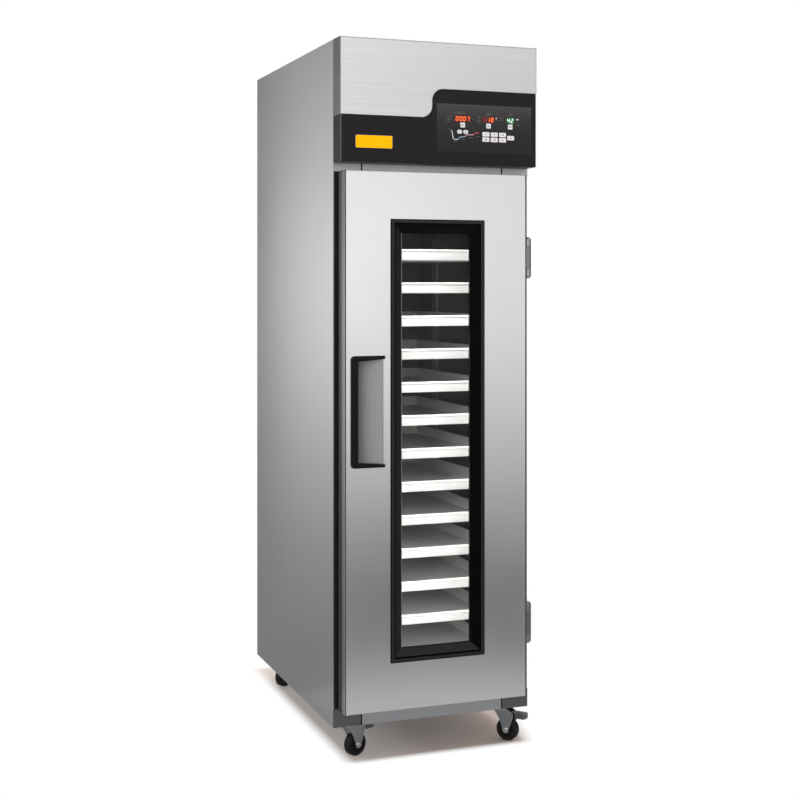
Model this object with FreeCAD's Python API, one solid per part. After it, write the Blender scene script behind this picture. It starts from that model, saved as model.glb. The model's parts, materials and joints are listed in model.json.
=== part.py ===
import FreeCAD, Part
import math
import os

from FreeCAD import Vector

# Tray stack: baking trays set the inside of the cabinet
tray_count = 13
tray_width = 400.0
tray_length = 600.0
tray_height = 28.0
tray_pitch = 86.3
tray_sheet = 1.2
tray_rim = 6.0
tray_rim_height = 7.0
tray_slope = 5.0
tray_corner = 22.0
tray_setback = 25.0
tray_side_gap = 15.0
tray_back_gap = 15.0
bottom_tray_rise = 80.0
top_tray_space = 200.9

# Tray racks
upright_depth = 6.0
upright_width = 30.0
upright_inset = 90.0
upright_overrise = 70.0
runner_sheet = 1.5
runner_leg = 20.0
runner_setback = 6.0
ledge_overlap = 9.0

# Cabinet shell
side_wall = 55.0
back_wall = 52.0
base_height = 94.0
base_bar_height = 47.0
rail_height = 21.5
sill_height = 21.0
roof_wall = 68.0
sheet = 1.2
liner_sheet = 1.0
liner_flange = 12.0
panel_fit = 0.2
front_flange = 22.0
edge_flange = 20.0
frame_proud = 3.0
frame_edge = 2.5
bar_end_width = 75.0
bar_seam = 3.5
top_flange = 25.0
pan_upstand = 40.0
deck_lip = 20.0
deck_hole_radius = 18.0

# Louvres in the back of the machine space
slot_end_share = 0.498
louvre_columns = 2
louvre_rows = 8
louvre_width = 150.0
louvre_slot = 6.0
louvre_pitch = 18.0
louvre_gap = 60.0
louvre_drop = 60.0

# Head with the control panel
head_height = 312.0
head_projection = 60.0
curve_low = 118.0
curve_high = 192.0
curve_step_x = 246.0
curve_radius = 30.0
fascia_tab = 13.0
fascia_tab_height = 60.0
fascia_bend = 1.3
panel_wall = 2.5
panel_overlap = 18.0
panel_round = 2.5
overlay_width = 266.0
overlay_height = 122.0
overlay_side_margin = 15.0
overlay_rise = 34.0
overlay_inset = 0.5
overlay_lip = 4.0
overlay_lip_wall = 1.5
badge_width = 102.0
badge_height = 36.0
badge_wall = 1.5
badge_inset = 37.5
badge_rise = 33.0
badge_corner = 2.0

# Keys and displays, laid out as shares of the overlay from its lower left corner
group_column_shares = (0.268, 0.540, 0.772)
square_row_share = 0.561
oval_column_shares = (0.236, 0.300)
oval_row_share = 0.418
oval_end_share = 0.45
pad_column_shares = (0.513, 0.601, 0.689)
pad_row_shares = (0.384, 0.272)
last_pad_column_share = 0.776
last_pad_row_share = 0.323
square_key = 12.4
oval_gap = 3.7
oval_height = 9.6
pad_gap = 3.9
pad_row_gap = 2.4
key_corner = 1.2
key_proud = 0.9
key_fit = 0.25
key_lip = 0.7
key_lip_wall = 1.0
key_travel = 0.8
switch_gap = 0.2
switch_size = 6.0
display_widths = (45.8, 34.6, 23.6)
display_height = 15.6
display_gap = 2.2
board_wall = 1.6
board_gap = 7.0
board_margin = 6.0
post_radius = 3.0
post_inset = 9.0

# Door
door_left_reveal = 10.0
door_right_reveal = 33.0
door_thickness = 53.0
door_gap = 15.0
door_edge_gap = 0.5
door_sheet = 1.0
door_bend = 2.0
skin_return = 45.0
liner_return = 10.0
gasket_width = 14.0
gasket_inset = 3.0
gasket_clear = 0.3
gasket_groove = 3.0

# Door window
window_margin = 120.0
window_proud = 2.5
window_flange = 10.0
window_bevel = 22.0
window_depth = 12.6
window_step = 1.0
window_seat = 11.0
window_fit = 0.3
pane_wall = 5.0
spacer_depth = 12.0
spacer_width = 9.0
retainer_inset = 10.0
retainer_flange = 10.0
retainer_proud = 2.0

# Recessed door handle
handle_width = 90.0
handle_height = 280.0
handle_inset = 14.6
handle_rise = 754.0
handle_proud = 5.0
handle_bar = 18.4
handle_arm_root = 14.0
handle_arm_tip = 8.0
handle_corner = 10.0
pocket_sheet = 1.2
pocket_depth = 34.0
pocket_floor = 20.0
pocket_rim = 4.0

# Hinges
hinge_height = 108.0
hinge_top_drop = 215.0
hinge_bottom_rise = 188.0
hinge_setback = 20.0
knuckle_radius = 10.0
knuckle_end = 25.0
knuckle_chamfer = 5.0
knuckle_gap = 1.0
hinge_pin_radius = 4.0
hinge_cap = 7.0
hinge_leaf = 3.0
hinge_foot = 26.0
hinge_arm = 7.0
strap_reach = 17.0
strap_web = 7.0
joint_gap = 0.3
running_fit = 0.05

# Swivel casters
caster_side_inset = 56.0
caster_end_inset = 46.0
caster_plate = 60.0
caster_plate_wall = 2.5
caster_bolt_radius = 3.2
caster_bolt_inset = 8.0
housing_radius = 23.0
housing_height = 6.5
kingpin_radius = 5.0
kingpin_head_radius = 9.0
kingpin_head = 3.0
fork_sheet = 2.5
fork_disc_radius = 24.0
fork_leg_back = 21.0
fork_leg_front = 24.0
fork_boss = 9.0
fork_sweep = 6.0
fork_web_clear = 3.0
caster_trail = 22.0
wheel_radius = 30.0
wheel_width = 22.0
wheel_round = 4.0
hub_width = 24.0
hub_radius = 10.0
web_width = 10.0
rim_radius = 22.0
axle_radius = 4.0
axle_head_radius = 7.0
axle_head = 3.0
caster_rest_degrees = (22.0, -52.0, 35.0, 150.0)

# Brake pedals on the front casters
pedal_pivot_x = 37.0
pedal_pivot_z = 69.0
pedal_pivot_radius = 2.5
pedal_ear = 6.0
pedal_cheek = 2.0
pedal_reach = 40.0
pedal_width = 26.0
pedal_wall = 2.5
pedal_skirt = 11.0
pedal_corner = 5.0
shoe_width = 10.0
shoe_length = 8.0
shoe_offset = 2.0
shoe_clear = 1.8

# Air duct with its fan, heater, lamps and water pan
duct_depth = 66.0
duct_sheet = 1.0
duct_floor_gap = 70.0
duct_roof_gap = 30.0
duct_slot_length = 70.0
duct_slot = 8.0
duct_slot_pitch = 86.3
duct_slot_count = 12
duct_slot_offset = 110.0
duct_slot_rise = 90.0
duct_fit = 0.3
fan_drop = 120.0
fan_radius = 78.0
fan_hub_radius = 20.0
fan_hub_depth = 22.0
fan_blades = 5
fan_blade_wall = 1.6
fan_blade_chord = 30.0
fan_blade_degrees = 32.0
fan_twist_shares = (1.25, 0.7)
fan_bore_clear = 8.0
fan_shaft_radius = 4.0
fan_shaft_reach = 18.0
guard_rings = 4
guard_bar = 5.0
guard_hub_radius = 20.0
motor_radius = 36.0
motor_depth = 26.0
motor_flange_radius = 44.0
motor_flange = 3.0
heater_radius = 4.0
heater_elbow = 12.0
heater_span = 150.0
heater_pitch = 34.0
heater_runs = 4
heater_rise = 260.0
heater_plate = 26.0
heater_plate_wall = 3.0
pan_width = 240.0
pan_length = 320.0
pan_height = 46.0
pan_wall = 1.5
pan_corner = 24.0
pan_setback = 130.0
lamp_width = 9.0
lamp_depth = 15.0
lamp_setback = 6.0
lamp_end_gap = 60.0
lamp_chamfer = 4.0

# Cooling unit in the machine space
compressor_radius = 72.0
compressor_height = 165.0
compressor_dome = 45.0
compressor_foot = 190.0
compressor_foot_width = 120.0
compressor_foot_wall = 3.0
compressor_seam = 3.0
compressor_inset_x = 150.0
compressor_inset_y = 190.0
terminal_width = 46.0
terminal_height = 56.0
terminal_depth = 22.0
condenser_width = 230.0
condenser_depth = 48.0
condenser_height = 180.0
condenser_inset_x = 150.0
condenser_inset_y = 70.0
condenser_fin = 0.8
condenser_fins = 12
condenser_end = 2.0
condenser_foot = 22.0
condenser_tube_radius = 5.0
condenser_rows = 3

# Cord entry in the back panel
gland_bore = 5.0
gland_reach = 20.0
gland_nut = 6.0
gland_nut_radius = 13.0
gland_stem_radius = 9.0
gland_cap_radius = 11.0
gland_drop = 215.0
gland_inset = 90.0

# Every cut runs past the face it opens by this much
overrun = 2.0

# Places worked out from the sizes above
chamber_half = tray_width / 2 + tray_side_gap
half_width = chamber_half + side_wall
cabinet_depth = tray_setback + tray_length + tray_back_gap + duct_depth + back_wall
overall_depth = handle_proud + door_thickness + door_gap + cabinet_depth + gland_reach
door_front_y = handle_proud - overall_depth / 2
door_back_y = door_front_y + door_thickness
front_y = door_back_y + door_gap
frame_y = front_y - frame_proud
back_y = front_y + cabinet_depth
head_front_y = front_y - head_projection

base_z = base_height
bar_top_z = base_z + base_bar_height
chamber_z0 = bar_top_z + sill_height
chamber_z1 = chamber_z0 + bottom_tray_rise + (tray_count - 1) * tray_pitch + top_tray_space
rail_z = chamber_z1 + sill_height
head_z = rail_z + rail_height
deck_z = chamber_z1 + roof_wall
top_z = head_z + head_height

chamber_y1 = back_y - back_wall
tray_y0 = front_y + tray_setback
tray_y1 = tray_y0 + tray_length
tray_floor_half = tray_width / 2 - tray_rim - tray_slope
duct_y = tray_y1 + tray_back_gap
tray_zs = [chamber_z0 + bottom_tray_rise + k * tray_pitch for k in range(tray_count)]

door_x0 = door_left_reveal - half_width
door_x1 = half_width - door_right_reveal
door_z0 = bar_top_z + door_edge_gap
door_z1 = rail_z - door_edge_gap
window_x0 = door_x0 + window_margin
window_x1 = door_x1 - window_margin
window_z0 = door_z0 + window_margin
window_z1 = door_z1 - window_margin
pane_y = door_front_y + window_depth + window_step
retainer_y = pane_y + 2 * pane_wall + spacer_depth

handle_x0 = door_x0 + handle_inset
handle_x1 = handle_x0 + handle_width
handle_z0 = door_z0 + handle_rise - handle_height / 2
handle_z1 = handle_z0 + handle_height

hinge_x = door_x1 + knuckle_gap + knuckle_radius
hinge_y = door_front_y + hinge_setback
hinge_zs = (door_z0 + hinge_bottom_rise, door_z1 - hinge_top_drop)

panel_y = head_front_y + sheet
panel_back_y = panel_y + panel_wall
overlay_x1 = half_width - overlay_side_margin
overlay_x0 = overlay_x1 - overlay_width
overlay_z0 = head_z + overlay_rise
overlay_y = panel_y + overlay_inset
overlay_back_y = panel_back_y + overlay_lip_wall
board_y = overlay_back_y + board_gap
switch_y = overlay_back_y + key_lip_wall + key_travel + switch_gap

caster_top_z = base_z + sheet
fork_top_z = caster_top_z - caster_plate_wall - housing_height - joint_gap
fork_disc_z = fork_top_z - fork_sheet
leg_inner_y = hub_width / 2 + joint_gap
caster_places = [
    (side * (half_width - caster_side_inset), place_y)
    for place_y in (front_y + caster_end_inset, back_y - caster_end_inset)
    for side in (-1, 1)
]
caster_names = ("front_left", "front_right", "rear_left", "rear_right")

fan_z = chamber_z1 - duct_roof_gap - fan_drop
motor_y = chamber_y1 - motor_flange - motor_depth
fan_y = motor_y - joint_gap - fan_hub_depth
gland_x = half_width - gland_inset
gland_z = top_z - gland_drop


def box(x0, x1, y0, y1, z0, z1):
    """Block between six planes."""
    return Part.makeBox(x1 - x0, y1 - y0, z1 - z0, Vector(x0, y0, z0))


def rod(radius, length, start, axis):
    """Round bar from a start point along an axis."""
    return Part.makeCylinder(radius, length, start, axis)


def joined(shapes):
    """One solid out of pieces that meet, with its flat faces merged."""
    first, *others = shapes
    return first.multiFuse(others).removeSplitter() if others else first


def cut(shape, tools):
    """A shape with several tools taken out of it."""
    return shape.cut(Part.makeCompound(tools))


def mirrored(shape):
    """The same shape on the other side of the middle plane."""
    return shape.mirror(Vector(0, 0, 0), Vector(1, 0, 0))


def rounded_front(block, radius):
    """A block with the four edges of its front face rounded."""
    room = block.BoundBox
    front = [edge for edge in block.Edges if edge.CenterOfMass.y < room.YMin + room.YLength / 4]
    return block.makeFillet(radius, front)


def prism(points, along):
    """Straight prism over a flat outline of points."""
    return Part.Face(Part.makePolygon([*points, points[0]])).extrude(along)


def round_loop(x0, x1, z0, z1, radius, place):
    """Closed rectangle with round corners; place turns flat (u, v) into a point."""
    lean = radius * (1 - math.sqrt(0.5))
    corners = ((x1, z0, -1, 1), (x1, z1, -1, -1), (x0, z1, 1, -1), (x0, z0, 1, 1))
    turns = ((0, 1), (1, 0), (0, 1), (1, 0))
    arcs = []
    for (u, v, du, dv), (first_u, first_v) in zip(corners, turns):
        on_u = place(u + du * radius, v)
        on_v = place(u, v + dv * radius)
        middle = place(u + du * lean, v + dv * lean)
        start, end = (on_u, on_v) if first_v else (on_v, on_u)
        arcs.append((start, middle, end))
    edges = []
    for (start, middle, end), (following, _, _) in zip(arcs, arcs[1:] + arcs[:1]):
        edges.append(Part.Arc(start, middle, end).toShape())
        edges.append(Part.LineSegment(end, following).toShape())
    return Part.Wire(edges)


def round_plate(x0, x1, z0, z1, radius, y0, y1):
    """Upright plate with round corners between two depths."""
    loop = round_loop(x0, x1, z0, z1, radius, lambda u, v: Vector(u, y0, v))
    return Part.Face(loop).extrude(Vector(0, y1 - y0, 0))


def flat_loop(half_x, y0, y1, radius, z):
    """Level rectangle with round corners, centred left to right."""
    return round_loop(-half_x, half_x, y0, y1, radius, lambda u, v: Vector(u, v, z))


def side_panels():
    """Two outer side sheets with folded edges."""
    x1 = half_width
    fold_y = back_y - sheet
    flanges = [
        box(x1 - sheet, x1, front_y, back_y, base_z, top_z),
        box(x1 - front_flange, x1, front_y, front_y + sheet, base_z, top_z - sheet),
        box(x1 - edge_flange, x1, front_y, fold_y, base_z, base_z + sheet),
        box(x1 - edge_flange, x1, front_y, fold_y, top_z - 2 * sheet, top_z - sheet),
        box(x1 - edge_flange, x1, fold_y - sheet, fold_y, base_z, top_z - sheet),
    ]
    right = joined(flanges)
    return [mirrored(right), right]


def top_panel():
    """Roof sheet with a front edge folded down behind the head."""
    x1 = half_width - sheet - panel_fit
    flange_x = half_width - front_flange - panel_fit
    roof = box(-x1, x1, front_y, back_y - sheet - panel_fit, top_z - sheet, top_z)
    lip = box(-flange_x, flange_x, front_y, front_y + sheet, top_z - top_flange, top_z - sheet)
    return [joined([roof, lip])]


def louvre_slots():
    """Rows of round-ended slots for the machine space."""
    end_radius = slot_end_share * louvre_slot
    slots = []
    for column in range(louvre_columns):
        centre_x = (column - (louvre_columns - 1) / 2) * (louvre_width + louvre_gap)
        for row in range(louvre_rows):
            z1 = top_z - louvre_drop - row * louvre_pitch
            x0 = centre_x - louvre_width / 2
            slots.append(round_plate(x0, x0 + louvre_width, z1 - louvre_slot, z1, end_radius,
                                     back_y - sheet - overrun, back_y + overrun))
    return slots


def back_panel():
    """Back sheet with louvres and the cord entry hole."""
    x1 = half_width - sheet - panel_fit
    plate = box(-x1, x1, back_y - sheet, back_y, base_z, top_z)
    hole = rod(gland_stem_radius + running_fit, sheet + 2 * overrun,
               Vector(gland_x, back_y - sheet - overrun, gland_z), Vector(0, 1, 0))
    return [cut(plate, [*louvre_slots(), hole])]


def base_pan():
    """Floor sheet on the side flanges, turned up at the front and the back."""
    x1 = half_width - sheet - panel_fit
    front_x = half_width - front_flange - panel_fit
    back_x = half_width - edge_flange - panel_fit
    y0 = front_y + sheet + panel_fit
    y1 = back_y - 2 * sheet - panel_fit
    z0 = base_z + sheet
    z1 = z0 + sheet
    return [joined([
        box(-x1, x1, y0, y1, z0, z1),
        box(-front_x, front_x, front_y, y0, z0, z1),
        box(-front_x, front_x, front_y, front_y + sheet, z0, bar_top_z),
        box(-back_x, back_x, y1, back_y - sheet, z0, z1),
        box(-back_x, back_x, back_y - 2 * sheet, back_y - sheet, z0, z0 + pan_upstand),
    ])]


def front_bar(z0, z1):
    """Cover bar across the front: two end caps and a middle, each a shallow folded cap."""
    inner = half_width - bar_end_width
    spans = (
        (-half_width, -inner - bar_seam / 2),
        (-inner + bar_seam / 2, inner - bar_seam / 2),
        (inner + bar_seam / 2, half_width),
    )
    caps = []
    for x0, x1 in spans:
        block = box(x0, x1, frame_y, front_y, z0, z1)
        hollow = box(x0 + sheet, x1 - sheet, frame_y + sheet, front_y + overrun, z0 + sheet, z1 - sheet)
        caps.append(block.cut(hollow))
    return caps


def front_bars():
    """Base bar and head rail."""
    return front_bar(base_z, bar_top_z) + front_bar(rail_z, head_z)


def breaker_frame():
    """Dark frame round the door opening that the door seal closes on."""
    x1 = half_width - frame_edge
    plate = box(-x1, x1, frame_y, front_y, bar_top_z, rail_z)
    opening = box(-chamber_half, chamber_half, frame_y - overrun, front_y + overrun, chamber_z0, chamber_z1)
    return [plate.cut(opening)]


def inner_liner():
    """Chamber lining, open at the front, with a flange behind the door frame."""
    outer_x = chamber_half + liner_sheet
    flange_x = chamber_half + liner_flange
    shell = box(-outer_x, outer_x, front_y, chamber_y1 + liner_sheet,
                chamber_z0 - liner_sheet, chamber_z1 + liner_sheet)
    flange = box(-flange_x, flange_x, front_y, front_y + liner_sheet,
                 chamber_z0 - liner_flange, chamber_z1 + liner_flange)
    chamber = box(-chamber_half, chamber_half, front_y - overrun, chamber_y1, chamber_z0, chamber_z1)
    return [joined([shell, flange]).cut(chamber)]


def insulation():
    """Foam between the outer sheets and the lining."""
    x1 = half_width - sheet
    outer_x = chamber_half + liner_sheet
    block = box(-x1, x1, front_y + sheet, back_y - 2 * sheet, base_z + 2 * sheet, deck_z)
    chamber = box(-outer_x, outer_x, front_y, chamber_y1 + liner_sheet,
                  chamber_z0 - liner_sheet, chamber_z1 + liner_sheet)
    return [block.cut(chamber)]


def machine_deck():
    """Sheet over the foam that carries the cooling unit, with a hole for its pipes."""
    x1 = half_width - sheet - panel_fit
    y0 = front_y + sheet + panel_fit
    y1 = back_y - 2 * sheet - panel_fit
    deck = joined([
        box(-x1, x1, y0, y1, deck_z, deck_z + sheet),
        box(-x1, x1, y0, y0 + sheet, deck_z, deck_z + deck_lip),
        box(-x1, x1, y1 - sheet, y1, deck_z, deck_z + deck_lip),
    ])
    hole = rod(deck_hole_radius, sheet + 2 * overrun,
               Vector(0, (y0 + y1) / 2, deck_z - overrun), Vector(0, 0, 1))
    return [deck.cut(hole)]


def under_curve(y0, y1):
    """Block below the sweeping line that parts the steel from the dark panel."""
    step_x = curve_step_x - half_width
    low = head_z + curve_low
    high = head_z + curve_high
    left = -half_width - overrun
    right = half_width + overrun
    bottom = head_z - overrun
    reach = curve_radius * math.sqrt(0.5)

    def at(x, z):
        return Vector(x, y0, z)

    inner_x = step_x - curve_radius
    outer_x = step_x + curve_radius
    edges = [
        Part.LineSegment(at(left, bottom), at(right, bottom)),
        Part.LineSegment(at(right, bottom), at(right, high)),
        Part.LineSegment(at(right, high), at(outer_x, high)),
        Part.Arc(at(outer_x, high), at(outer_x - reach, high - curve_radius + reach),
                 at(step_x, high - curve_radius)),
        Part.LineSegment(at(step_x, high - curve_radius), at(step_x, low + curve_radius)),
        Part.Arc(at(step_x, low + curve_radius), at(inner_x + reach, low + curve_radius - reach),
                 at(inner_x, low)),
        Part.LineSegment(at(inner_x, low), at(left, low)),
        Part.LineSegment(at(left, low), at(left, bottom)),
    ]
    loop = Part.Wire([edge.toShape() for edge in edges])
    return Part.Face(loop).extrude(Vector(0, y1 - y0, 0))


def head_fascia():
    """Steel front of the head, bent back at the top and the sides."""
    inner_x = half_width - sheet
    block = box(-half_width, half_width, head_front_y, front_y, head_z, top_z)
    hollow = box(-inner_x, inner_x, panel_y, front_y + overrun, head_z - overrun, top_z - sheet)
    shell = rounded_front(block, fascia_bend + sheet).cut(rounded_front(hollow, fascia_bend))
    tab_z1 = top_z - sheet
    tab = box(inner_x - fascia_tab, inner_x, front_y - sheet, front_y, tab_z1 - fascia_tab_height, tab_z1)
    folded = joined([shell, tab, mirrored(tab)])
    return [folded.cut(under_curve(head_front_y - overrun, front_y + overrun))]


def control_panel():
    """Dark moulded panel behind the steel, wrapped round the sides and the underside."""
    x1 = half_width - sheet
    z1 = head_z + curve_high + panel_overlap
    block = box(-x1, x1, panel_y, front_y, head_z, z1)
    hollow = box(panel_wall - x1, x1 - panel_wall, panel_back_y, front_y + overrun,
                 head_z + panel_wall, z1 + overrun)
    seat = box(overlay_x0 - panel_fit, overlay_x1 + panel_fit, panel_y - overrun, panel_back_y + overrun,
               overlay_z0 - panel_fit, overlay_z0 + overlay_height + panel_fit)
    return [cut(rounded_front(block, panel_round), [hollow, seat])]


def key_cells():
    """Name, left, right, bottom, top and corner radius of each key."""
    def across(share):
        return overlay_x0 + share * overlay_width

    def up(share):
        return overlay_z0 + share * overlay_height

    def cell(name, x, z, width, height, corner):
        return name, x - width / 2, x + width / 2, z - height / 2, z + height / 2, corner

    cells = []
    for number, share in enumerate(group_column_shares, 1):
        cells.append(cell(f"set_key_{number}", across(share), up(square_row_share),
                          square_key, square_key, key_corner))
    oval_width = (oval_column_shares[1] - oval_column_shares[0]) * overlay_width - oval_gap
    for name, share in zip(("start_key", "stop_key"), oval_column_shares):
        cells.append(cell(name, across(share), up(oval_row_share), oval_width, oval_height,
                          oval_end_share * oval_height))
    pad_width = (pad_column_shares[1] - pad_column_shares[0]) * overlay_width - pad_gap
    pad_height = (pad_row_shares[0] - pad_row_shares[1]) * overlay_height - pad_row_gap
    pads = [(column, row) for row in pad_row_shares for column in pad_column_shares]
    pads.append((last_pad_column_share, last_pad_row_share))
    for number, (column, row) in enumerate(pads, 1):
        cells.append(cell(f"pad_key_{number}", across(column), up(row), pad_width, pad_height, key_corner))
    return cells


def display_cells():
    """Left, right, bottom and top of each display window, above its set key."""
    z0 = overlay_z0 + square_row_share * overlay_height + square_key / 2 + display_gap
    cells = []
    for share, width in zip(group_column_shares, display_widths):
        x = overlay_x0 + share * overlay_width
        cells.append((x - width / 2, x + width / 2, z0, z0 + display_height))
    return cells


def overlay_plate():
    """Operating plate set into the panel, with holes for the keys and displays."""
    z1 = overlay_z0 + overlay_height
    face = box(overlay_x0, overlay_x1, overlay_y, overlay_back_y, overlay_z0, z1)
    lip = box(overlay_x0 - overlay_lip, overlay_x1 + overlay_lip, panel_back_y, overlay_back_y,
              overlay_z0 - overlay_lip, z1 + overlay_lip)
    y0 = overlay_y - overrun
    y1 = overlay_back_y + overrun
    holes = [
        round_plate(x0 - key_fit, x1 + key_fit, bottom - key_fit, top + key_fit, corner + key_fit, y0, y1)
        for _, x0, x1, bottom, top, corner in key_cells()
    ]
    holes += [
        box(x0 - panel_fit, x1 + panel_fit, y0, y1, bottom - panel_fit, top + panel_fit)
        for x0, x1, bottom, top in display_cells()
    ]
    return [cut(joined([face, lip]), holes)]


def key_cap(x0, x1, z0, z1, corner):
    """Key with a lip that stops it behind the operating plate."""
    cap = round_plate(x0, x1, z0, z1, corner, overlay_y - key_proud, overlay_back_y)
    lip = round_plate(x0 - key_lip, x1 + key_lip, z0 - key_lip, z1 + key_lip, corner + key_lip,
                      overlay_back_y, overlay_back_y + key_lip_wall)
    return joined([cap, lip])


def displays():
    """Three display blocks between the operating plate and its board."""
    return [box(x0, x1, overlay_y, board_y, z0, z1) for x0, x1, z0, z1 in display_cells()]


def control_board():
    """Circuit board on four posts, with a switch behind each key."""
    x0 = overlay_x0 + board_margin
    x1 = overlay_x1 - board_margin
    z0 = overlay_z0 + board_margin
    z1 = overlay_z0 + overlay_height - board_margin
    pieces = [box(x0, x1, board_y, board_y + board_wall, z0, z1)]
    for x in (x0 + post_inset, x1 - post_inset):
        for z in (z0 + post_inset, z1 - post_inset):
            pieces.append(rod(post_radius, board_gap, Vector(x, overlay_back_y, z), Vector(0, 1, 0)))
    for _, left, right, bottom, top, _ in key_cells():
        x = (left + right - switch_size) / 2
        z = (bottom + top - switch_size) / 2
        pieces.append(box(x, x + switch_size, switch_y, board_y, z, z + switch_size))
    return [joined(pieces)]


def badge_plate():
    """Blank plate on the dark panel."""
    x0 = badge_inset - half_width
    z0 = head_z + badge_rise
    return [round_plate(x0, x0 + badge_width, z0, z0 + badge_height, badge_corner,
                        panel_y - badge_wall, panel_y)]


def tray_racks():
    """A ladder of tray runners on each chamber wall."""
    leg_x1 = chamber_half - upright_depth
    leg_x0 = leg_x1 - runner_sheet
    ledge_x0 = tray_floor_half - ledge_overlap
    y0 = tray_y0 + runner_setback
    y1 = tray_y1 - runner_setback
    top = tray_zs[-1] + upright_overrise
    pieces = []
    for y in (y0 + upright_inset, y1 - upright_inset - upright_width):
        pieces.append(box(leg_x1, chamber_half, y, y + upright_width, chamber_z0, top))
    for z in tray_zs:
        pieces.append(box(ledge_x0, leg_x1, y0, y1, z - runner_sheet, z))
        pieces.append(box(leg_x0, leg_x1, y0, y1, z, z + runner_leg))
    right = joined(pieces)
    return [mirrored(right), right]


def tray():
    """Baking tray with leaning walls, round corners and a beaded rim."""
    half = tray_width / 2
    wall_half = half - tray_rim
    top_z0 = tray_height - tray_rim_height

    def loop(inset, corner, z):
        return flat_loop(half - inset, tray_y0 + inset, tray_y1 - inset, corner, z)

    lean = tray_rim + tray_slope
    outer = Part.makeLoft([loop(lean, tray_corner, 0), loop(tray_rim, tray_corner, tray_height)], True, True)
    rim = Part.Face(loop(0, tray_corner + tray_rim, top_z0)).extrude(Vector(0, 0, tray_rim_height))
    wall = half - wall_half + tray_sheet
    hollow = Part.makeLoft([
        loop(lean + tray_sheet, tray_corner - tray_sheet, tray_sheet),
        loop(wall, tray_corner - tray_sheet, tray_height),
    ], True, True)
    return outer.fuse(rim).removeSplitter().cut(hollow)


def trays():
    """The stack of trays on their runners."""
    pattern = tray()
    return [pattern.translated(Vector(0, 0, z)) for z in tray_zs]


def fan_guard_slots(y0, y1):
    """Ring slots in front of the fan, parted by four bars."""
    step = (fan_radius - guard_hub_radius) / guard_rings
    depth = Vector(0, y1 - y0, 0)
    centre = Vector(0, y0, fan_z)
    axis = Vector(0, 1, 0)
    slots = []
    for ring in range(guard_rings):
        inner = guard_hub_radius + ring * step
        band = rod(inner + step - guard_bar, y1 - y0, centre, axis).cut(rod(inner, y1 - y0, centre, axis))
        slots.append(band)
    reach = fan_radius + overrun
    bars = [
        box(-guard_bar / 2, guard_bar / 2, y0, y0 + depth.y, fan_z - reach, fan_z + reach),
        box(-reach, reach, y0, y0 + depth.y, fan_z - guard_bar / 2, fan_z + guard_bar / 2),
    ]
    return [slot.cut(Part.makeCompound(bars)) for slot in slots]


def duct_panel():
    """Folded cover over the air duct, with air slots and the fan grille."""
    x1 = chamber_half - duct_fit
    z0 = chamber_z0 + duct_floor_gap
    z1 = chamber_z1 - duct_roof_gap
    block = box(-x1, x1, duct_y, chamber_y1, z0, z1)
    hollow = box(duct_sheet - x1, x1 - duct_sheet, duct_y + duct_sheet, chamber_y1 + overrun,
                 z0 - overrun, z1 + overrun)
    y0 = duct_y - overrun
    y1 = duct_y + duct_sheet + overrun
    end_radius = slot_end_share * duct_slot
    slots = fan_guard_slots(y0, y1)
    for row in range(duct_slot_count):
        z = z0 + duct_slot_rise + row * duct_slot_pitch
        if z + duct_slot > fan_z - fan_radius:
            break
        for side in (-1, 1):
            x0 = side * duct_slot_offset - duct_slot_length / 2
            slots.append(round_plate(x0, x0 + duct_slot_length, z, z + duct_slot, end_radius, y0, y1))
    return [cut(block, [hollow, *slots])]


def fan_motor():
    """Fan motor on a round flange on the chamber's back wall."""
    axis = Vector(0, 1, 0)
    case = rod(motor_radius, motor_depth, Vector(0, motor_y, fan_z), axis)
    flange = rod(motor_flange_radius, motor_flange, Vector(0, motor_y + motor_depth, fan_z), axis)
    bore = rod(fan_shaft_radius + running_fit, fan_shaft_reach + overrun + joint_gap,
               Vector(0, motor_y - overrun, fan_z), axis)
    return [joined([case, flange]).cut(bore)]


def fan_blade():
    """One leaning blade, from the hub out to its tip along +Z."""
    turn = math.radians(fan_blade_degrees)
    sections = []
    radii = (fan_hub_radius - fan_blade_wall, fan_radius - fan_bore_clear)
    for radius, share in zip(radii, fan_twist_shares):
        lean = turn * share
        across = Vector(math.cos(lean), math.sin(lean), 0) * (fan_blade_chord / 2)
        through = Vector(-math.sin(lean), math.cos(lean), 0) * (fan_blade_wall / 2)
        points = [across + through, across - through, -across - through, -across + through]
        points = [point + Vector(0, 0, radius) for point in points]
        sections.append(Part.makePolygon([*points, points[0]]))
    return Part.makeLoft(sections, True, True)


def circulation_fan():
    """Fan wheel with its shaft, which runs in the motor."""
    axis = Vector(0, 1, 0)
    centre = Vector(0, fan_y + fan_hub_depth / 2, fan_z)
    pieces = [
        rod(fan_hub_radius, fan_hub_depth, Vector(0, fan_y, fan_z), axis),
        rod(fan_shaft_radius, fan_shaft_reach + joint_gap, Vector(0, fan_y + fan_hub_depth, fan_z), axis),
    ]
    for number in range(fan_blades):
        blade = fan_blade().translated(centre)
        blade.rotate(centre, axis, number * 360 / fan_blades)
        pieces.append(blade)
    return [joined(pieces)]


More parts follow.
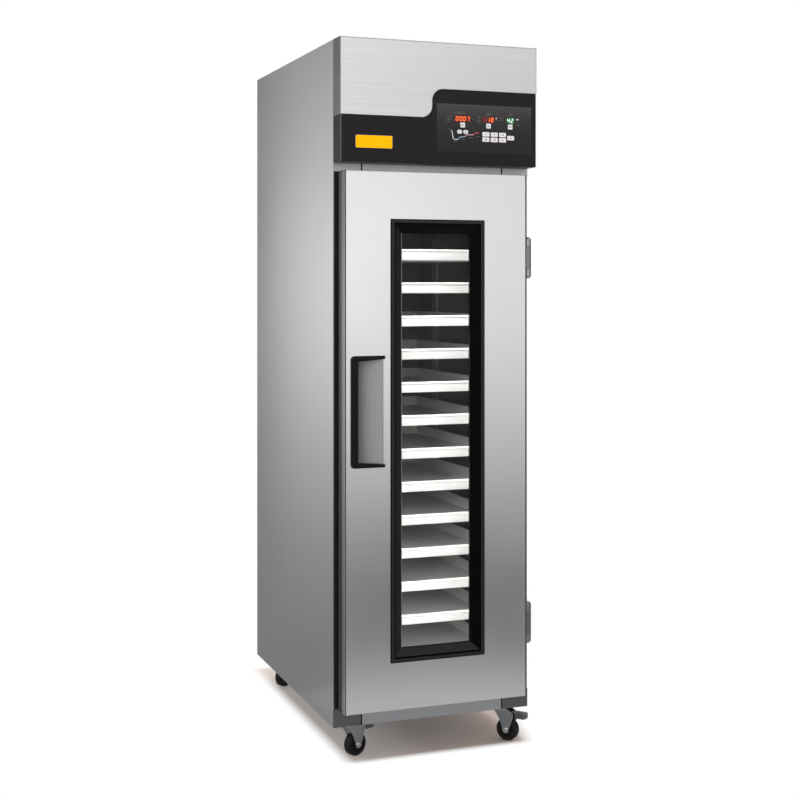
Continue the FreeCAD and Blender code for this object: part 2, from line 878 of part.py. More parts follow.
def heater_path():
    """Centre line of the heater: out of the wall, to and fro in level runs, and back into the wall."""
    y = duct_y + duct_depth / 2
    wall_y = chamber_y1 - heater_plate_wall
    z0 = chamber_z0 + heater_rise
    half = heater_span / 2
    bend = heater_pitch / 2
    lean = heater_elbow * (1 - math.sqrt(0.5))

    def elbow(side, z):
        """Points from the wall end round to the level run, on one side."""
        x = side * half
        return (Vector(x, wall_y, z), Vector(x, y + heater_elbow, z),
                Vector(x - side * lean, y + lean, z), Vector(x - side * heater_elbow, y, z))

    wall, leave, middle, along = elbow(-1, z0)
    edges = [Part.LineSegment(wall, leave), Part.Arc(leave, middle, along)]
    side = 1
    for run in range(heater_runs - 1):
        z = z0 + run * heater_pitch
        turn = Vector(side * half, y, z)
        back = Vector(side * half, y, z + heater_pitch)
        edges.append(Part.LineSegment(along, turn))
        edges.append(Part.Arc(turn, Vector(side * (half + bend), y, z + bend), back))
        along = back
        side = -side
    end_wall, end_leave, end_middle, end_along = elbow(side, z0 + (heater_runs - 1) * heater_pitch)
    edges += [Part.LineSegment(along, end_along), Part.Arc(end_along, end_middle, end_leave),
              Part.LineSegment(end_leave, end_wall)]
    return Part.Wire([edge.toShape() for edge in edges]), (wall, end_wall)


def heater():
    """Bent tube heater whose ends stand on plates on the back wall."""
    path, walls = heater_path()
    section = Part.Wire([Part.makeCircle(heater_radius, walls[0], Vector(0, -1, 0))])
    pieces = [path.makePipeShell([section], True)]
    reach = heater_plate / 2
    for wall in walls:
        pieces.append(box(wall.x - reach, wall.x + reach, wall.y, chamber_y1, wall.z - reach, wall.z + reach))
    return [joined(pieces)]


def water_pan():
    """Humidity pan on the chamber floor."""
    y0 = tray_y0 + pan_setback
    y1 = y0 + pan_length
    half = pan_width / 2
    outer = Part.Face(flat_loop(half, y0, y1, pan_corner, chamber_z0)).extrude(Vector(0, 0, pan_height))
    hollow = Part.Face(flat_loop(half - pan_wall, y0 + pan_wall, y1 - pan_wall, pan_corner - pan_wall,
                                 chamber_z0 + pan_wall)).extrude(Vector(0, 0, pan_height))
    return [outer.cut(hollow)]


def chamber_lamps():
    """Upright lamps on the chamber walls beside the window."""
    x1 = chamber_half
    x0 = x1 - lamp_width
    y0 = front_y + lamp_setback
    y1 = y0 + lamp_depth
    z0 = chamber_z0 + lamp_end_gap
    z1 = chamber_z1 - lamp_end_gap
    outline = [
        Vector(x1, y0, z0), Vector(x0 + lamp_chamfer, y0, z0), Vector(x0, y0 + lamp_chamfer, z0),
        Vector(x0, y1 - lamp_chamfer, z0), Vector(x0 + lamp_chamfer, y1, z0), Vector(x1, y1, z0),
    ]
    right = prism(outline, Vector(0, 0, z1 - z0))
    return [mirrored(right), right]


def compressor():
    """Domed compressor can on its foot plate, with a terminal cover."""
    x = half_width - compressor_inset_x
    y = back_y - compressor_inset_y
    z0 = deck_z + sheet
    z1 = z0 + compressor_foot_wall
    shoulder = z1 + compressor_height - compressor_dome
    foot = box(x - compressor_foot / 2, x + compressor_foot / 2,
               y - compressor_foot_width / 2, y + compressor_foot_width / 2, z0, z1)
    cap_radius = (compressor_radius ** 2 + compressor_dome ** 2) / (2 * compressor_dome)
    cap_z = shoulder + compressor_dome - cap_radius
    half_turn = math.asin(compressor_radius / cap_radius) / 2
    crown = Vector(0, 0, shoulder + compressor_dome)
    edge = Vector(compressor_radius, 0, shoulder)
    middle = Vector(cap_radius * math.sin(half_turn), 0, cap_z + cap_radius * math.cos(half_turn))
    low = Vector(compressor_radius, 0, z1)
    outline = [
        Part.LineSegment(Vector(0, 0, z1), low), Part.LineSegment(low, edge),
        Part.Arc(edge, middle, crown), Part.LineSegment(crown, Vector(0, 0, z1)),
    ]
    face = Part.Face(Part.Wire([line.toShape() for line in outline]))
    can = face.revolve(Vector(0, 0, 0), Vector(0, 0, 1), 360).translated(Vector(x, y, 0))
    seam_z = (z1 + shoulder - compressor_seam) / 2
    seam = rod(compressor_radius + compressor_seam, compressor_seam, Vector(x, y, seam_z), Vector(0, 0, 1))
    cover_y = y - compressor_radius - terminal_depth / 2
    cover = box(x - terminal_width / 2, x + terminal_width / 2, cover_y, y, z1 + terminal_depth,
                z1 + terminal_depth + terminal_height)
    return [joined([foot, can, seam, cover])]


def condenser():
    """Finned block on end plates, with its tubes."""
    x0 = condenser_inset_x - half_width - condenser_width / 2
    x1 = x0 + condenser_width
    y1 = back_y - condenser_inset_y
    y0 = y1 - condenser_depth
    z0 = deck_z + sheet
    z1 = z0 + condenser_height
    pieces = []
    for x in (x0, x1 - condenser_end):
        pieces.append(box(x, x + condenser_end, y0, y1, z0, z1))
    for x in (x0, x1 - condenser_foot):
        pieces.append(box(x, x + condenser_foot, y0, y1, z0, z0 + condenser_end))
    pitch = (condenser_width - condenser_end) / (condenser_fins + 1)
    fin_z0 = z0 + condenser_foot
    for number in range(1, condenser_fins + 1):
        x = x0 + number * pitch
        pieces.append(box(x, x + condenser_fin, y0, y1, fin_z0, z1))
    row_pitch = (z1 - fin_z0) / condenser_rows
    for row in range(condenser_rows):
        z = fin_z0 + (row + 0.5) * row_pitch
        start = Vector(x0, (y0 + y1) / 2, z)
        pieces.append(rod(condenser_tube_radius, condenser_width, start, Vector(1, 0, 0)))
    return [joined(pieces)]


def cord_gland():
    """Cord gland screwed through the back panel."""
    axis = Vector(0, 1, 0)
    corners = [
        Vector(gland_x + gland_nut_radius * math.cos(math.radians(60 * side)), back_y,
               gland_z + gland_nut_radius * math.sin(math.radians(60 * side)))
        for side in range(6)
    ]
    inside = back_y - sheet - gland_nut
    nut = prism(corners, Vector(0, gland_nut, 0))
    lock = nut.translated(Vector(0, inside - back_y, 0))
    stem = rod(gland_stem_radius, sheet + gland_nut, Vector(gland_x, inside, gland_z), axis)
    cap = Part.makeCone(gland_cap_radius, gland_stem_radius, gland_reach - gland_nut,
                        Vector(gland_x, back_y + gland_nut, gland_z), axis)
    bore = rod(gland_bore, gland_reach + gland_nut + sheet + 2 * overrun,
               Vector(gland_x, inside - overrun, gland_z), axis)
    return [joined([nut, lock, stem, cap]).cut(bore)]


def knuckle(radius, z0, z1, chamfer_low, chamfer_high):
    """Hinge barrel about the hinge axis, with its free ends chamfered."""
    inner = radius - chamfer_low
    outline = [Vector(0, 0, z0), Vector(inner, 0, z0), Vector(radius, 0, z0 + chamfer_low)]
    if not chamfer_low:
        outline.pop()
    outline.append(Vector(radius, 0, z1 - chamfer_high))
    if chamfer_high:
        outline.append(Vector(radius - chamfer_high, 0, z1))
    outline.append(Vector(0, 0, z1))
    face = Part.Face(Part.makePolygon([*outline, outline[0]]))
    barrel = face.revolve(Vector(0, 0, 0), Vector(0, 0, 1), 360)
    return barrel.translated(Vector(hinge_x, hinge_y, 0))


def hinge_brackets():
    """Fixed hinge halves on the door frame, each with its pin."""
    solids = []
    for centre in hinge_zs:
        z0 = centre - hinge_height / 2
        z1 = centre + hinge_height / 2
        low = z0 + knuckle_end
        high = z1 - knuckle_end
        foot_x1 = half_width - frame_edge
        pieces = [
            box(foot_x1 - hinge_foot, foot_x1, frame_y - hinge_leaf, frame_y, z0, z1),
            knuckle(knuckle_radius, z0, low, knuckle_chamfer, 0),
            knuckle(knuckle_radius, high, z1, 0, knuckle_chamfer),
        ]
        for arm_z0, arm_z1 in ((z0 + knuckle_chamfer, low), (high, z1 - knuckle_chamfer)):
            pieces.append(box(hinge_x + knuckle_radius - hinge_arm, hinge_x + knuckle_radius,
                              hinge_y, frame_y, arm_z0, arm_z1))
        bore_z0 = z0 + hinge_cap
        bore_length = hinge_height - 2 * hinge_cap
        bore = rod(hinge_pin_radius + running_fit, bore_length,
                   Vector(hinge_x, hinge_y, bore_z0), Vector(0, 0, 1))
        solids.append(joined(pieces).cut(bore))
        solids.append(rod(hinge_pin_radius, bore_length, Vector(hinge_x, hinge_y, bore_z0), Vector(0, 0, 1)))
    return solids


def hinge_straps():
    """Door hinge halves, whose barrels turn on the pins."""
    solids = []
    for centre in hinge_zs:
        half = hinge_height / 2 - knuckle_end - joint_gap
        z0 = centre - half
        z1 = centre + half
        strap = joined([
            knuckle(knuckle_radius, z0, z1, 0, 0),
            box(door_x1, door_x1 + knuckle_gap + hinge_leaf, hinge_y - strap_reach, hinge_y + strap_reach,
                z0, z1),
            box(door_x1, hinge_x, hinge_y - strap_web, hinge_y + strap_web, z0, z1),
        ])
        bore = rod(hinge_pin_radius + running_fit, z1 - z0 + 2 * overrun,
                   Vector(hinge_x, hinge_y, z0 - overrun), Vector(0, 0, 1))
        solids.append(strap.cut(bore))
    return solids


def pocket_block(sheet_in, y0):
    """Wedge of the handle pocket, shrunk by a wall on its closed sides."""
    x0 = handle_x0 + pocket_rim + sheet_in
    x1 = handle_x1 - pocket_rim - sheet_in * handle_width / pocket_depth
    z0 = handle_z0 + pocket_rim + sheet_in
    z1 = handle_z1 - pocket_rim - sheet_in
    deep = door_front_y + pocket_depth - sheet_in
    outline = [Vector(x0, y0, z0), Vector(x1, y0, z0), Vector(x1, door_front_y, z0),
               Vector(x0 + pocket_floor, deep, z0), Vector(x0, deep, z0)]
    if y0 == door_front_y:
        outline.pop(2)
    return prism(outline, Vector(0, 0, z1 - z0))


def handle_pocket():
    """Steel finger recess that deepens towards the handle bar."""
    return [pocket_block(0, door_front_y).cut(pocket_block(pocket_sheet, door_front_y - overrun))]


def handle_bezel():
    """Dark C-shaped grip over the recess, with tapering arms."""
    y0 = door_front_y - handle_proud
    outer = round_plate(handle_x0, handle_x1 + handle_corner, handle_z0, handle_z1, handle_corner,
                        y0, door_front_y)
    trim = box(handle_x1, handle_x1 + handle_corner + overrun, y0 - overrun, door_front_y + overrun,
               handle_z0 - overrun, handle_z1 + overrun)
    x0 = handle_x0 + handle_bar
    mouth = prism([
        Vector(x0, y0 - overrun, handle_z0 + handle_arm_root),
        Vector(handle_x1 + overrun, y0 - overrun, handle_z0 + handle_arm_tip),
        Vector(handle_x1 + overrun, y0 - overrun, handle_z1 - handle_arm_tip),
        Vector(x0, y0 - overrun, handle_z1 - handle_arm_root),
    ], Vector(0, handle_proud + 2 * overrun, 0))
    return [cut(outer, [trim, mouth])]


def window_ring(inset, y0, y1):
    """Block over the window, in from the frame's outer edge."""
    return box(window_x0 + inset, window_x1 - inset, y0, y1, window_z0 + inset, window_z1 - inset)


def frustum(inset_front, y_front, inset_back, y_back):
    """Tapering window opening between two depths."""
    loops = []
    for inset, y in ((inset_front, y_front), (inset_back, y_back)):
        x0, x1 = window_x0 + inset, window_x1 - inset
        z0, z1 = window_z0 + inset, window_z1 - inset
        corners = [Vector(x0, y, z0), Vector(x1, y, z0), Vector(x1, y, z1), Vector(x0, y, z1)]
        loops.append(Part.makePolygon([*corners, corners[0]]))
    return Part.makeLoft(loops, True, True)


def window_frame():
    """Dark window surround with a raised flange and a bevel down to the glass."""
    y0 = door_front_y - window_proud
    flange = window_ring(0, y0, door_front_y)
    body = window_ring(window_seat, door_front_y, pane_y)
    recess = window_ring(window_flange, y0 - overrun, y0 + window_step)
    bevel = frustum(window_flange + window_step, y0, window_flange + window_bevel, pane_y)
    front = window_ring(window_flange + window_step, y0 - overrun, y0)
    back = window_ring(window_flange + window_bevel, pane_y, pane_y + overrun)
    return [cut(joined([flange, body]), [recess, bevel, front, back])]


def window_panes():
    """Inner and outer glass."""
    inset = window_seat + window_fit
    second = pane_y + pane_wall + spacer_depth
    return [window_ring(inset, pane_y, pane_y + pane_wall), window_ring(inset, second, second + pane_wall)]


def window_retainer():
    """Spacer between the panes, and the frame that holds them from behind."""
    inset = window_seat + window_fit
    spacer = window_ring(inset, pane_y + pane_wall, pane_y + pane_wall + spacer_depth)
    spacer = spacer.cut(window_ring(inset + spacer_width, pane_y, retainer_y))
    tube = window_ring(inset, retainer_y, door_back_y)
    flange = window_ring(window_seat - retainer_flange, door_back_y, door_back_y + retainer_proud)
    tunnel = window_ring(inset + retainer_inset, pane_y, door_back_y + retainer_proud + overrun)
    return [spacer, joined([tube, flange]).cut(tunnel)]


def door_block(inset, y0, y1):
    """Block over the door, in from its edges."""
    return box(door_x0 + inset, door_x1 - inset, y0, y1, door_z0 + inset, door_z1 - inset)


def door_skin():
    """Front sheet of the door, bent back on four sides and cut for window and handle."""
    y1 = door_front_y + skin_return
    outside = door_block(0, door_front_y, y1)
    inside = door_block(door_sheet, door_front_y + door_sheet, y1 + overrun)
    tray_fold = rounded_front(outside, door_bend + door_sheet).cut(rounded_front(inside, door_bend))
    hole = window_ring(window_seat - window_fit, door_front_y - overrun, y1)
    return [cut(tray_fold, [hole, pocket_block(0, door_front_y - overrun)])]


def door_liner():
    """Back sheet of the door, folded into the skin, with the window opening."""
    inset = door_sheet + panel_fit
    y0 = door_back_y - liner_return
    fold = door_block(inset, y0, door_back_y).cut(
        door_block(inset + door_sheet, y0 - overrun, door_back_y - door_sheet))
    return [fold.cut(window_ring(window_seat - window_fit, y0 - overrun, door_back_y + overrun))]


def door_foam():
    """Foam filling of the door round the window and the handle pocket."""
    inset = door_sheet + panel_fit + max(door_sheet, door_bend)
    block = door_block(inset, door_front_y + door_sheet, door_back_y - door_sheet)
    hole = window_ring(window_seat - window_fit, door_front_y, door_back_y)
    return [cut(block, [hole, pocket_block(0, door_front_y - overrun)])]


def door_gasket():
    """Seal round the back of the door, with a groove along its face."""
    inset = door_sheet + panel_fit + gasket_inset
    face_y = frame_y - gasket_clear
    ring = door_block(inset, door_back_y, face_y).cut(
        door_block(inset + gasket_width, door_back_y - overrun, face_y + overrun))
    groove_inset = inset + (gasket_width - gasket_groove) / 2
    groove = door_block(groove_inset, face_y - gasket_groove, face_y + overrun).cut(
        door_block(groove_inset + gasket_groove, face_y - gasket_groove - overrun, face_y + 2 * overrun))
    return [ring.cut(groove)]


def caster_plates():
    """Top plates under the base, each with its bearing housing and kingpin."""
    half = caster_plate / 2
    up = Vector(0, 0, 1)
    plate_z = caster_top_z - caster_plate_wall
    plate = box(-half, half, -half, half, plate_z, caster_top_z)
    reach = half - caster_bolt_inset
    bolts = [
        rod(caster_bolt_radius, caster_plate_wall + 2 * overrun, Vector(x, y, plate_z - overrun), up)
        for x in (-reach, reach) for y in (-reach, reach)
    ]
    housing = Part.makeCone(housing_radius - housing_height / 2, housing_radius, housing_height,
                            Vector(0, 0, plate_z - housing_height), up)
    head_z1 = fork_disc_z - joint_gap
    pin = rod(kingpin_radius, plate_z - head_z1, Vector(0, 0, head_z1), up)
    head = rod(kingpin_head_radius, kingpin_head, Vector(0, 0, head_z1 - kingpin_head), up)
    pattern = joined([cut(plate, bolts), housing, pin, head])
    return [pattern.translated(Vector(x, y, 0)) for x, y in caster_places]


def placed_on_caster(shape, number):
    """A caster piece swivelled to its resting direction and set at its corner."""
    x, y = caster_places[number]
    turned = shape.copy()
    turned.rotate(Vector(0, 0, 0), Vector(0, 0, 1), caster_rest_degrees[number])
    return turned.translated(Vector(x, y, 0))


def fork_edge(inset, y):
    """Leading edge of a fork, which bows into the plate on its way from the axle up to the disc."""
    low = Vector(caster_trail - fork_boss + inset, y, wheel_radius)
    top = Vector(inset - fork_leg_back, y, fork_top_z)
    chord = top - low
    inward = Vector(chord.z, 0, -chord.x).normalize() * fork_sweep
    return Part.Arc(low, (low + top) * 0.5 + inward, top)


def fork_web():
    """Front wall that joins a fork's legs along their leading edges and ends clear of the wheel."""
    across = Vector(0, 1, 0)
    outer_y = leg_inner_y + fork_sheet
    outer = fork_edge(0, -outer_y)
    inner = fork_edge(fork_sheet, -outer_y)
    edges = [
        outer, Part.LineSegment(outer.EndPoint, inner.EndPoint),
        inner, Part.LineSegment(inner.StartPoint, outer.StartPoint),
    ]
    wall = Part.Face(Part.Wire([edge.toShape() for edge in edges])).extrude(across * (2 * outer_y))
    return wall.cut(rod(wheel_radius + fork_web_clear, 2 * (outer_y + overrun),
                        Vector(caster_trail, -outer_y - overrun, wheel_radius), across))


def fork_leg(braked):
    """Stamped side plate of a fork, as an outline from the disc down to the axle."""
    def at(x, z):
        return Vector(x, leg_inner_y, z)

    leading = fork_edge(0, leg_inner_y)
    front_top = at(fork_leg_front, fork_top_z)
    front_low = at(caster_trail + fork_boss, wheel_radius)
    edges = [Part.LineSegment(leading.EndPoint, front_top)]
    if braked:
        ear_top = at(pedal_pivot_x + pedal_ear, pedal_pivot_z + pedal_ear)
        ear_low = at(pedal_pivot_x + pedal_ear, pedal_pivot_z - pedal_ear)
        edges += [Part.LineSegment(front_top, ear_top), Part.LineSegment(ear_top, ear_low),
                  Part.LineSegment(ear_low, front_low)]
    else:
        edges.append(Part.LineSegment(front_top, front_low))
    edges += [Part.LineSegment(front_low, leading.StartPoint), leading]
    plate = Part.Face(Part.Wire([edge.toShape() for edge in edges])).extrude(Vector(0, fork_sheet, 0))
    across = Vector(0, 1, 0)
    boss = rod(fork_boss, fork_sheet, Vector(caster_trail, leg_inner_y, wheel_radius), across)
    holes = [rod(axle_radius + running_fit, fork_sheet + 2 * overrun,
                 Vector(caster_trail, leg_inner_y - overrun, wheel_radius), across)]
    if braked:
        holes.append(rod(pedal_pivot_radius + running_fit, fork_sheet + 2 * overrun,
                         Vector(pedal_pivot_x, leg_inner_y - overrun, pedal_pivot_z), across))
    return cut(joined([plate, boss]), holes)


def caster_fork(braked):
    """Fork with its raceway disc and front wall, and the axle bolt through its legs."""
    up = Vector(0, 0, 1)
    across = Vector(0, 1, 0)
    disc = rod(fork_disc_radius, fork_sheet, Vector(0, 0, fork_disc_z), up)
    near = fork_leg(braked)
    far = near.mirror(Vector(0, 0, 0), across)
    bore = rod(kingpin_radius + running_fit, fork_sheet + 2 * overrun,
               Vector(0, 0, fork_disc_z - overrun), up)
    fork = joined([disc, near, far, fork_web()]).cut(bore)
    outer_y = leg_inner_y + fork_sheet
    axle = joined([
        rod(axle_radius, 2 * outer_y, Vector(caster_trail, -outer_y, wheel_radius), across),
        rod(axle_head_radius, axle_head, Vector(caster_trail, -outer_y - axle_head, wheel_radius), across),
        rod(axle_head_radius, axle_head, Vector(caster_trail, outer_y, wheel_radius), across),
    ])
    return [fork, axle]


def caster_wheel():
    """Wheel with a rounded tread, a thin web and a hub, bored for the axle."""
    half = wheel_width / 2
    hub = hub_width / 2
    web = web_width / 2
    bore = axle_radius + running_fit
    lean = wheel_round * (1 - math.sqrt(0.5))

    def at(radius, y):
        return Vector(radius, y, 0)

    edges = [
        Part.LineSegment(at(bore, -hub), at(hub_radius, -hub)),
        Part.LineSegment(at(hub_radius, -hub), at(hub_radius, -web)),
        Part.LineSegment(at(hub_radius, -web), at(rim_radius, -web)),
        Part.LineSegment(at(rim_radius, -web), at(rim_radius, -half)),
        Part.LineSegment(at(rim_radius, -half), at(wheel_radius - wheel_round, -half)),
        Part.Arc(at(wheel_radius - wheel_round, -half), at(wheel_radius - lean, lean - half),
                 at(wheel_radius, wheel_round - half)),
        Part.LineSegment(at(wheel_radius, wheel_round - half), at(wheel_radius, half - wheel_round)),
        Part.Arc(at(wheel_radius, half - wheel_round), at(wheel_radius - lean, half - lean),
                 at(wheel_radius - wheel_round, half)),
        Part.LineSegment(at(wheel_radius - wheel_round, half), at(rim_radius, half)),
        Part.LineSegment(at(rim_radius, half), at(rim_radius, web)),
        Part.LineSegment(at(rim_radius, web), at(hub_radius, web)),
        Part.LineSegment(at(hub_radius, web), at(hub_radius, hub)),
        Part.LineSegment(at(hub_radius, hub), at(bore, hub)),
        Part.LineSegment(at(bore, hub), at(bore, -hub)),
    ]
    face = Part.Face(Part.Wire([edge.toShape() for edge in edges]))
    wheel = face.revolve(Vector(0, 0, 0), Vector(0, 1, 0), 360)
    return wheel.translated(Vector(caster_trail, 0, wheel_radius))


def brake_pedal():
    """Pressed foot pedal on a pin between the fork's ears, with a shoe over the tread."""
    across = Vector(0, 1, 0)
    half = leg_inner_y - joint_gap
    outer_y = leg_inner_y + fork_sheet
    tread_z0 = pedal_pivot_z + pedal_ear + joint_gap
    tread_z1 = tread_z0 + pedal_wall
    x0 = pedal_pivot_x - pedal_ear
    x1 = pedal_pivot_x + pedal_reach
    pad_x0 = pedal_pivot_x + pedal_ear + joint_gap
    side_y = pedal_width / 2
    skirt_z = tread_z0 - pedal_skirt
    loop = round_loop(pad_x0, x1, -side_y, side_y, pedal_corner, lambda u, v: Vector(u, v, skirt_z))
    hollows = [
        box(pad_x0 - overrun, x1 - pedal_wall, pedal_wall - side_y, side_y - pedal_wall,
            skirt_z - overrun, tread_z0),
        box(pad_x0 - overrun, pad_x0 + pedal_corner, -side_y - overrun, side_y + overrun,
            skirt_z - overrun, tread_z0),
    ]
    pieces = [
        cut(Part.Face(loop).extrude(Vector(0, 0, tread_z1 - skirt_z)), hollows),
        box(x0, pad_x0 + pedal_corner, -half, half, tread_z0, tread_z1),
        rod(pedal_pivot_radius, 2 * outer_y, Vector(pedal_pivot_x, -outer_y, pedal_pivot_z), across),
    ]
    cheek_z0 = pedal_pivot_z - pedal_ear
    for y in (-half, half - pedal_cheek):
        pieces.append(box(x0, pedal_pivot_x + pedal_ear, y, y + pedal_cheek, cheek_z0, tread_z0))
    shoe_x0 = pedal_pivot_x + shoe_offset
    shoe_z0 = wheel_radius + math.sqrt((wheel_radius + shoe_clear) ** 2 - (shoe_x0 - caster_trail) ** 2)
    shoe = box(shoe_x0, shoe_x0 + shoe_length, -shoe_width / 2, shoe_width / 2, shoe_z0, tread_z0)
    return joined([*pieces, shoe])


def build():
    """All nodes by name, each a list of solids."""
    makers = (
        side_panels, top_panel, back_panel, base_pan, front_bars, breaker_frame, inner_liner, insulation,
        machine_deck, head_fascia, control_panel, overlay_plate, displays, control_board, badge_plate,
        tray_racks, trays, duct_panel, fan_motor, circulation_fan, heater, water_pan, chamber_lamps,
        compressor, condenser, cord_gland, hinge_brackets, caster_plates,
        door_skin, door_liner, door_foam, window_frame, window_panes, window_retainer, door_gasket,
        handle_bezel, handle_pocket, hinge_straps,
    )
    nodes = {maker.__name__: maker() for maker in makers}
    for name, *cell in key_cells():
        nodes[name] = [key_cap(*cell)]
    for number, place in enumerate(caster_names):
        braked = place.startswith("front")
        nodes[f"{place}_fork"] = [placed_on_caster(solid, number) for solid in caster_fork(braked)]
        nodes[f"{place}_wheel"] = [placed_on_caster(caster_wheel(), number)]
        if braked:
            nodes[f"{place}_pedal"] = [placed_on_caster(brake_pedal(), number)]
    return nodes


def main():
    """Write one STEP file per node and say what each holds."""
    os.makedirs("parts", exist_ok=True)
    for name, solids in build().items():
        shape = solids[0] if len(solids) == 1 else Part.makeCompound(solids)
        if not shape.isValid():
            raise ValueError(f"{name} is not a valid shape")
        shape.exportStep(f"parts/{name}.step")
        print(f"{name}: {len(shape.Solids)} solids, {shape.Volume / 1000:.1f} cm3")


if __name__ == "__main__":
    main()
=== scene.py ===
"""Looks of a tall one-door proofing box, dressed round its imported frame.

Lengths are in metres, in the frame's own axes: the door faces -Y, +X is to the viewer's
right and the casters stand on Z = 0. Sizes written in millimetres are multiplied by MM.
"""

import json
import logging
import math
from dataclasses import dataclass, field
from enum import Enum
from typing import Callable, Iterable, Optional, Sequence, Union

import bmesh
import bpy
from mathutils import Matrix, Vector


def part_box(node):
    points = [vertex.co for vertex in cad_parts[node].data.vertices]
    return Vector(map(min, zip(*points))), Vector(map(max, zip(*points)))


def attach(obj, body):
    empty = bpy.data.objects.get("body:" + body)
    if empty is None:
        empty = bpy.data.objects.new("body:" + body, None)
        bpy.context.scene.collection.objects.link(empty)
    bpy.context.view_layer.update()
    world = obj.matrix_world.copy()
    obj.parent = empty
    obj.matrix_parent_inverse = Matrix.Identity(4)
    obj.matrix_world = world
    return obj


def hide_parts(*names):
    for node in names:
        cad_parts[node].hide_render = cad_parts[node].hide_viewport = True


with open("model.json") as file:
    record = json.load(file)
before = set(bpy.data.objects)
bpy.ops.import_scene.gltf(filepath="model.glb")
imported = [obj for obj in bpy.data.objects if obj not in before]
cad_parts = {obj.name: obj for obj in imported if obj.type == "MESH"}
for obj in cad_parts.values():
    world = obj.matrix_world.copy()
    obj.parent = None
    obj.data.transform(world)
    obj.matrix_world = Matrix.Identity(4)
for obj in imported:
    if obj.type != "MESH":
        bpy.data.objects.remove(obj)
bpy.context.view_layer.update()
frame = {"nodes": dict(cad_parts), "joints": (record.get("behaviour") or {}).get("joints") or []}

MM = 0.001
RELIEF_STRENGTH = 0.6
EDGE_MASK_GAIN = 6.0
# The Mix node's colour sockets by number, because its other sockets have the same names.
MIX_COLOURS = (6, 7)
MIX_RESULT = 2
MERGE_DISTANCE = 1e-6
ROUNDING_SEGMENTS = 3
WHITE = (1.0, 1.0, 1.0, 1.0)
Colour = tuple[float, float, float]
Flat = tuple[float, float]
Socket = bpy.types.NodeSocket
Number = Union[float, Socket]

log = logging.getLogger("proofing_box")


class Grain(Enum):
    """Which way the brush lines of a sheet run, as the stretch of its noise per metre."""

    UPRIGHT = (900.0, 900.0, 9.0)
    LEVEL = (9.0, 900.0, 900.0)
    DEEP = (900.0, 9.0, 900.0)
    LONG = (1.2, 140.0, 140.0)


class Effect(Enum):
    """Shader node groups that several finishes share."""

    GRAIN = "brushed_grain"
    PATCHES = "soft_patches"
    EDGES = "rounded_edges"
    PITS = "moulded_pits"
    DUST = "settled_dust"
    FLAKES = "zinc_flakes"


